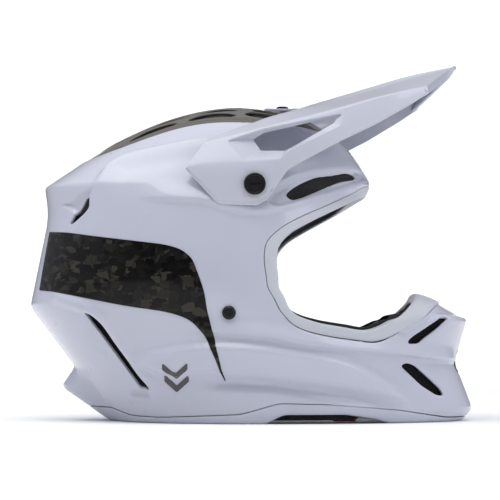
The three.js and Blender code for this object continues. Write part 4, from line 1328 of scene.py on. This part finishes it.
def stuffed(name, node, body):
    """A fabric-covered pad from a plain solid: remeshed, blown up a little as cloth, and smoothed."""
    mesh = frame["nodes"][node].data.copy()
    mesh.materials.clear()
    pad = bpy.data.objects.new(name, mesh)
    bpy.context.scene.collection.objects.link(pad)
    baked = pad.modifiers.new("remesh", "REMESH")
    baked.mode = "VOXEL"
    baked.voxel_size = VOXEL * MM
    soft = pad.modifiers.new("soft", "SMOOTH")
    soft.iterations = 10
    soft.factor = 0.6
    apply_all(pad)
    start = read(pad.data, "co") - read(pad.data, "normal") * SHRINK * MM
    write(pad.data, start)
    cloth = pad.modifiers.new("cloth", "CLOTH")
    cloth.settings.use_pressure = True
    cloth.settings.uniform_pressure_force = 4
    cloth.settings.effector_weights.gravity = 0
    cloth.settings.tension_stiffness = 25
    cloth.settings.compression_stiffness = 25
    for step in range(1, 15):
        bpy.context.scene.frame_set(step)
    apply_all(pad)
    bpy.context.scene.frame_set(1)
    move = read(pad.data, "co") - start
    far = np.linalg.norm(move, axis=1, keepdims=True)
    blown = start + move * np.minimum(1, MOST * MM / np.maximum(far, 1e-9))
    low, high = (np.array(corner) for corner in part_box(node))
    write(pad.data, np.clip(blown, low - PROUD * MM, high + PROUD * MM))
    pad.modifiers.new("round", "SUBSURF").render_levels = 1
    pad.modifiers["round"].levels = 1
    apply_all(pad)
    pad.data.polygons.foreach_set("use_smooth", [True] * len(pad.data.polygons))
    finish(pad, LOOKS["liner_fabric"], body, [node])
    return pad


def apply_all(obj):
    """The evaluated mesh becomes the object's own, and its modifiers go."""
    graph = bpy.context.evaluated_depsgraph_get()
    graph.update()
    final = bpy.data.meshes.new_from_object(obj.evaluated_get(graph))
    obj.modifiers.clear()
    obj.data = final


def sewn(obj, depth, width, distance):
    """Presses a seam into a pad where distance(points in mm) is near zero."""
    co = read(obj.data, "co")
    press = depth * np.exp(-((distance(co / MM) / width) ** 2))
    write(obj.data, co - read(obj.data, "normal") * press[:, None] * MM)


HEM = {"y": 90.0, "low": 2.3, "high": 17.0, "thick": 7.0, "rear": 1.0, "front": 93.0}
HEM_RINGS = 40


def end_caps(rings, size):
    """Fans of triangles over the first and the last of a row of sections."""
    return [(base, base + i, base + i + 1) for base in (0, (rings - 1) * size) for i in range(1, size - 1)]


def pad_hems():
    """The bound lower edge of each cheek pad, which shows under the shell's arch."""
    half = HEM["thick"] / 2
    for side, sign in SIDES:
        rings = []
        for x in np.linspace(HEM["rear"], HEM["front"], HEM_RINGS):
            share = (x - HEM["rear"]) / (HEM["front"] - HEM["rear"])
            low = HEM["low"] + 5 * (1 - smoothstep(0, 0.1, share)) + 5 * smoothstep(0.93, 1, share)
            y = HEM["y"] - 14 * share**2
            section = [
                (-half, HEM["high"]), (-half, low + 2), (-half + 1.2, low + 0.4), (0, low), (half - 1.2, low + 0.4),
                (half, low + 2), (half, HEM["high"]),
            ]
            rings.append([(x, sign * (y + a), z) for a, z in section])
        points, faces = ring_solid(np.array(rings), closed=False)
        caps = end_caps(HEM_RINGS, len(section))
        hem = make("cheek_hem_" + side, points, faces if sign > 0 else flip(faces), caps, sharp=50)
        finish(hem, LOOKS["liner_fabric"], "cheek_pad_" + side + "_body")


def pads():
    def cheek_seams(p):
        return np.minimum(np.abs(p[:, 2] - 46 - p[:, 0] * 0.12), np.abs(np.abs(p[:, 1]) - 88))

    def neck_seams(p):
        return np.minimum(np.abs(p[:, 2] - 58), np.abs(np.abs(p[:, 1]) - 38))

    for side in ("left", "right"):
        pad = stuffed("cheek_cushion_" + side, "cheek_pad_" + side, "cheek_pad_" + side + "_body")
        sewn(pad, 1.6, 1.6, cheek_seams)
    sewn(stuffed("neck_cushion", "neck_roll", "helmet"), 1.4, 1.6, neck_seams)


# ---------- chin strap ----------
# Routes of (y, z) points. The left strap loops round the rings' bars, and the right one threads the rings.
DOWN = [(STRAP["y"], z) for z in (84, 60, 34, 22)] + [(97.2, 17.6), (92, 12.6), (78, 9.4)]
LEFT_ROUTE = DOWN + [
    (56, 8), (40, 7), (31, 5.8), (26.6, 8), (25.8, 12.5), (27.2, 17.4), (31, 18.8), (38, 17.6), (50, 12.6),
    (60, 11.6),
]
RIGHT_ROUTE = [(-y, z) for y, z in DOWN] + [
    (-40, 6.4), (0, 5), (14, 4.8), (20, 6.2), (22.2, 12), (20.2, 19.4), (14, 21.6), (0, 20.4), (-14, 12.4),
    (-30, 9.2),
]


RIBS = 15


def ribbon(name, route, node, width, thickness, look, body="helmet", x=STRAP["x"]):
    """A flat strap along a route of (y, z) points, with woven ribs across its width."""
    line = spline(route, 10, closed=False)
    tangent = np.gradient(line, axis=0)
    tangent /= np.linalg.norm(tangent, axis=1, keepdims=True)
    side = np.stack([-tangent[:, 1], tangent[:, 0]], -1)
    half = width / 2 - 0.4
    across = np.linspace(-half, half, RIBS)
    ribs = 0.10 * np.cos(np.arange(RIBS) * math.pi)
    edge = np.where(np.abs(across) > half - 1.0, -0.25, 0)
    upper = list(zip(across, thickness / 2 - 0.12 + ribs + edge))
    section = upper + [(half + 0.4, 0)] + [(a, -h) for a, h in reversed(upper)] + [(-half - 0.4, 0)]
    rings = []
    for point, out in zip(line, side):
        rings.append([(x + a, point[0] + out[0] * h, point[1] + out[1] * h) for a, h in section])
    points, faces = ring_solid(np.array(rings), closed=False)
    strap = make(name, points, faces, end_caps(len(rings), len(section)), sharp=60)
    finish(strap, look, body, [node])


def straps():
    for side, route in (("left", LEFT_ROUTE), ("right", RIGHT_ROUTE)):
        ribbon("strap_" + side, route, "chin_strap_" + side, STRAP["width"], STRAP["thick"],
               LOOKS["strap_webbing"])


def swept(name, path, radius, sides=14):
    """A round wire along a closed level path."""
    tangent = np.roll(path, -1, 0) - np.roll(path, 1, 0)
    tangent /= np.linalg.norm(tangent, axis=1, keepdims=True)
    up = np.tile([0, 0, 1.0], (len(path), 1))
    out = np.cross(tangent, up)
    turn = np.arange(sides) * 2 * math.pi / sides
    rings = path[:, None] + radius * (
        np.cos(turn)[None, :, None] * out[:, None] + np.sin(turn)[None, :, None] * up[:, None])
    points, faces = ring_solid(rings)
    return make(name, points, flip(faces))


def d_rings():
    half, side = RING["half"], RING["side"]
    bow = [(half * math.cos(a), -side - RING["arc"] * math.sin(a)) for a in np.linspace(0, math.pi, 9)]
    corners = [(-half + 3, 0), (0, 0), (half - 3, 0), (half, -3), *bow, (-half, -3)]
    for which, level in (("lower", RING["low"]), ("upper", RING["high"])):
        path = np.array([(STRAP["x"] + x, RING["y"] + y, level) for x, y in spline(corners, 6)])
        ring = swept("d_ring_wire_" + which, path, RING["wire"])
        finish(ring, LOOKS["ring_steel"], "d_ring_" + which + "_body", ["d_ring_" + which])


# ---------- screws, rivets and tabs ----------
def disc(name, radius, height, base, place, rings=26, sides=72):
    """A round head: height(x, y) over its plane, with a wall down to base, placed by place(x, y, h)."""
    r = np.linspace(0, radius, rings)[1:]
    a = np.arange(sides) * 2 * math.pi / sides
    x, y = r[:, None] * np.cos(a), r[:, None] * np.sin(a)
    top = np.stack([x, y, height(x, y)], -1).reshape(-1, 3)
    foot = np.stack([x[-1], y[-1], np.full(sides, base)], -1)
    points = np.concatenate([top, foot, [[0, 0, float(height(np.zeros(1), np.zeros(1))[0])], [0, 0, base]]])
    index = np.arange((rings - 1) * sides).reshape(rings - 1, sides)
    index = np.concatenate([index, (index[-1] + sides)[None]])
    nxt = np.roll(index, -1, 1)
    quads = np.stack([index[:-1], index[1:], nxt[1:], nxt[:-1]], -1).reshape(-1, 4)
    centre, bottom = len(points) - 2, len(points) - 1
    fans = [(centre, i, j) for i, j in zip(index[0], nxt[0])]
    fans += [(bottom, j, i) for i, j in zip(index[-1], nxt[-1])]
    return make(name, place(points[:, 0], points[:, 1], points[:, 2]), quads, fans, sharp=42)


KNOB_RADIUS = 9.0
CROWN_HEAD_RADIUS = 5.2
MIDDLE_KNOB_Z = 267.7


def slotted(x, y, soft_width, half_width, soft_end, half_length):
    """1 in a straight slot across a head, 0 outside it."""
    return smoothstep(0, soft_width, half_width - np.abs(y)) * smoothstep(0, soft_end, half_length - np.abs(x))


def knob(x, y):
    """The visor's side screw: a slot, a ring groove and two dots."""
    r = np.hypot(x, y)
    ring = smoothstep(0, 0.35, 0.5 - np.abs(r - 6.6))
    dots = smoothstep(0, 0.4, 0.8 - np.hypot(x, np.abs(y) - 4.3))
    slot = slotted(x, y, 0.5, 0.95, 0.6, 5.2)
    return 3.0 - 1.3 * slot - 0.45 * ring - 0.35 * dots - 0.7 * smoothstep(8.2, KNOB_RADIUS, r)


def rivet_head(x, y):
    return 1.5 - 0.9 * smoothstep(3.4, RIVET["head"], np.hypot(x, y))


def crown_head(x, y):
    return 1.8 - slotted(x, y, 0.4, 0.8, 0.5, 3.4) - 0.7 * smoothstep(4.0, CROWN_HEAD_RADIUS, np.hypot(x, y))


def screws():
    look = LOOKS["black_hardware"]
    for side, sign in SIDES:
        def facing(centre_x, y0, centre_z, sign=sign):
            """Places a head on the helmet's side, its plane y0 from the middle."""
            return lambda x, y, h: np.stack([centre_x - x * sign, sign * (y0 + h), centre_z + y], -1)

        head = disc("visor_knob_" + side, KNOB_RADIUS, knob, 0.0, facing(PIVOT[0], PLATE_Y + GAP, PIVOT[1]))
        finish(head, look, "visor_screw_" + side + "_body", ["visor_screw_" + side])
        cap = disc("rivet_cap_" + side, RIVET["head"], rivet_head, 0.0, facing(RIVET["x"], RIVET["y"], RIVET["z"]))
        finish(cap, look, replaces=["strap_rivet_" + side])
    middle = disc("visor_middle_knob", CROWN_HEAD_RADIUS, crown_head, 0.0,
                  lambda x, y, h: np.stack([MIDDLE_SCREW_X + x, y, MIDDLE_KNOB_Z + h], -1))
    finish(middle, look, "visor_middle_screw_body", ["visor_middle_screw"])


def release_tabs():
    """A folded loop of webbing under each cheek pad."""
    for side in ("left", "right"):
        low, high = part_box("cheek_release_tab_" + side)
        x, y = (low.x + high.x) / 2 / MM - NUDGE, (low.y + high.y) / 2 / MM
        top, bottom = high.z / MM, low.z / MM
        route = [(y - 0.2, top), (y - 0.5, 4.2), (y, bottom + 0.2), (y + 0.5, 4.2), (y + 0.2, top)]
        ribbon("pull_tab_" + side, route, "cheek_release_tab_" + side, 19, 0.9, LOOKS["red_webbing"],
               "cheek_pad_" + side + "_body", x)


# ---------- side marks ----------
def side_marks():
    """A plain double chevron on each side, at the rear."""
    for rank in range(2):
        low = 26 + rank * 11
        chevron = [(-70, low + 9), (-60, low), (-50, low + 9), (-50, low + 14.5), (-60, low + 5.5), (-70, low + 14.5)]
        outline = corners_rounded(chevron, 0.8)

        def cut(p):
            at = surface(p[..., 0] / PER_DEGREE, p[..., 1])
            return -within(np.stack([at[..., 0], at[..., 2]], -1), outline)

        both_panels(
            f"side_mark_{rank + 1}", lattice((120, 18), (160, 56), 0.9, 0.9), cut, "mark_paint", 0.45, 0.8, 0.15)


outer_shell()
eyeport_trim()
eyeport_seal()
neck_trim()
carbon_panels()
crown_insert()
visor()
vent_grilles()
mouth_vent()
liners()
chin_foam()
pads()
pad_hems()
straps()
d_rings()
screws()
release_tabs()
side_marks()
for node, look in (("strap_anchor", "ring_steel"), ("cheek_foam_block", "eps_foam"), ("visor_grommet", "rubber")):
    for side in ("left", "right"):
        kept = frame["nodes"][node + "_" + side]
        kept.data.materials.clear()
        kept.data.materials.append(LOOKS[look])


# ---------- light and floor ----------
def floor():
    """A pale floor, with a strip of it that curves up behind the object into a backdrop."""
    # In metres. The backdrop stands behind the other views' cameras, about 2.9 m from the object's middle.
    width, strip, front, back, bend, top = 6.0, 0.8, -3.2, 3.3, 0.4, 0.85
    turns = np.linspace(0, math.pi / 2, 13)[1:]
    curve = [(back - bend + bend * math.sin(a), bend * (1 - math.cos(a))) for a in turns]
    profile = [(front, 0.0), (back - bend, 0.0), *curve, (back, top)]
    points = [(x, y, z) for y, z in profile for x in (-strip, strip)]
    quads = [(2 * i, 2 * i + 1, 2 * i + 3, 2 * i + 2) for i in range(len(profile) - 1)]
    for side in (-1, 1):
        at = len(points)
        points += [(side * x, y, 0.0) for y in (front, 6.0) for x in (strip, width)]
        quads.append((at, at + 1, at + 3, at + 2) if side > 0 else (at + 1, at, at + 2, at + 3))
    mesh = bpy.data.meshes.new("floor")
    mesh.from_pydata(points, [], quads)
    mesh.polygons.foreach_set("use_smooth", [True] * len(quads))
    sheet = bpy.data.objects.new("floor", mesh)
    bpy.context.scene.collection.objects.link(sheet)
    look, nodes, links, bsdf, place = shader("floor", (0.93, 0.93, 0.93), 0.6)
    split = nodes.new("ShaderNodeSeparateXYZ")
    links.new(place.outputs["Object"], split.inputs["Vector"])
    # The paper darkens past the near edge of the picture, so that black parts don't mirror it.
    near_end = ranged(nodes, links, split.outputs["Y"], 0, 1, -1.9, -1.15)
    toned(nodes, links, near_end, [(0.0, (0.12, 0.12, 0.12)), (1.0, (0.93, 0.93, 0.93))], bsdf.inputs["Base Color"])
    sheet.data.materials.append(look)


def lamp(name, at, target, size, power, color=(1, 1, 1)):
    light = bpy.data.lights.new(name, "AREA")
    light.shape = "RECTANGLE"
    light.size, light.size_y = size
    light.energy = power
    light.color = color
    thing = bpy.data.objects.new(name, light)
    bpy.context.scene.collection.objects.link(thing)
    aim(thing, at, target)


def world():
    sky = bpy.data.worlds.new("studio")
    bpy.context.scene.world = sky
    sky.use_nodes = True
    nodes, links = sky.node_tree.nodes, sky.node_tree.links
    background = nodes["Background"]
    place = nodes.new("ShaderNodeTexCoord")
    split = nodes.new("ShaderNodeSeparateXYZ")
    links.new(place.outputs["Generated"], split.inputs["Vector"])
    dark = nodes.new("ShaderNodeMix")
    dark.data_type = "RGBA"
    dark.blend_type = "MULTIPLY"
    dark.inputs["Factor"].default_value = 1.0
    toned(nodes, links, ranged(nodes, links, split.outputs["Z"], 0, 1, -0.5, 1.0), [
        (0.0, (0.5, 0.5, 0.55)), (0.33, (0.42, 0.43, 0.48)), (0.56, (0.55, 0.56, 0.62)), (0.74, (0.95, 0.96, 1.02)),
        (1.0, (1.15, 1.15, 1.18)),
    ], dark.inputs["A"])
    # The side behind the camera is dark, so that black parts stay black.
    toned(nodes, links, ranged(nodes, links, split.outputs["Y"], 0, 1, -1, 1), [
        (0.1, (0.14, 0.14, 0.14)), (0.33, (1, 1, 1)), (0.7, (1, 1, 1)), (0.95, (0.45, 0.45, 0.45)),
    ], dark.inputs["B"])
    links.new(dark.outputs["Result"], background.inputs["Color"])
    background.inputs["Strength"].default_value = 1.08


floor()
world()
lamp("key", (-0.55, -0.75, 2.2), (0, 0, 0.15), (2.6, 1.5), 31)
lamp("fill", (1.5, -1.3, 0.9), (0, 0, 0.15), (0.9, 1.2), 7, (0.93, 0.95, 1.0))
lamp("back", (0, 2.2, 1.5), (0, 3.3, 0.55), (1.6, 0.5), 16)
bpy.context.scene.view_settings.view_transform = "Standard"
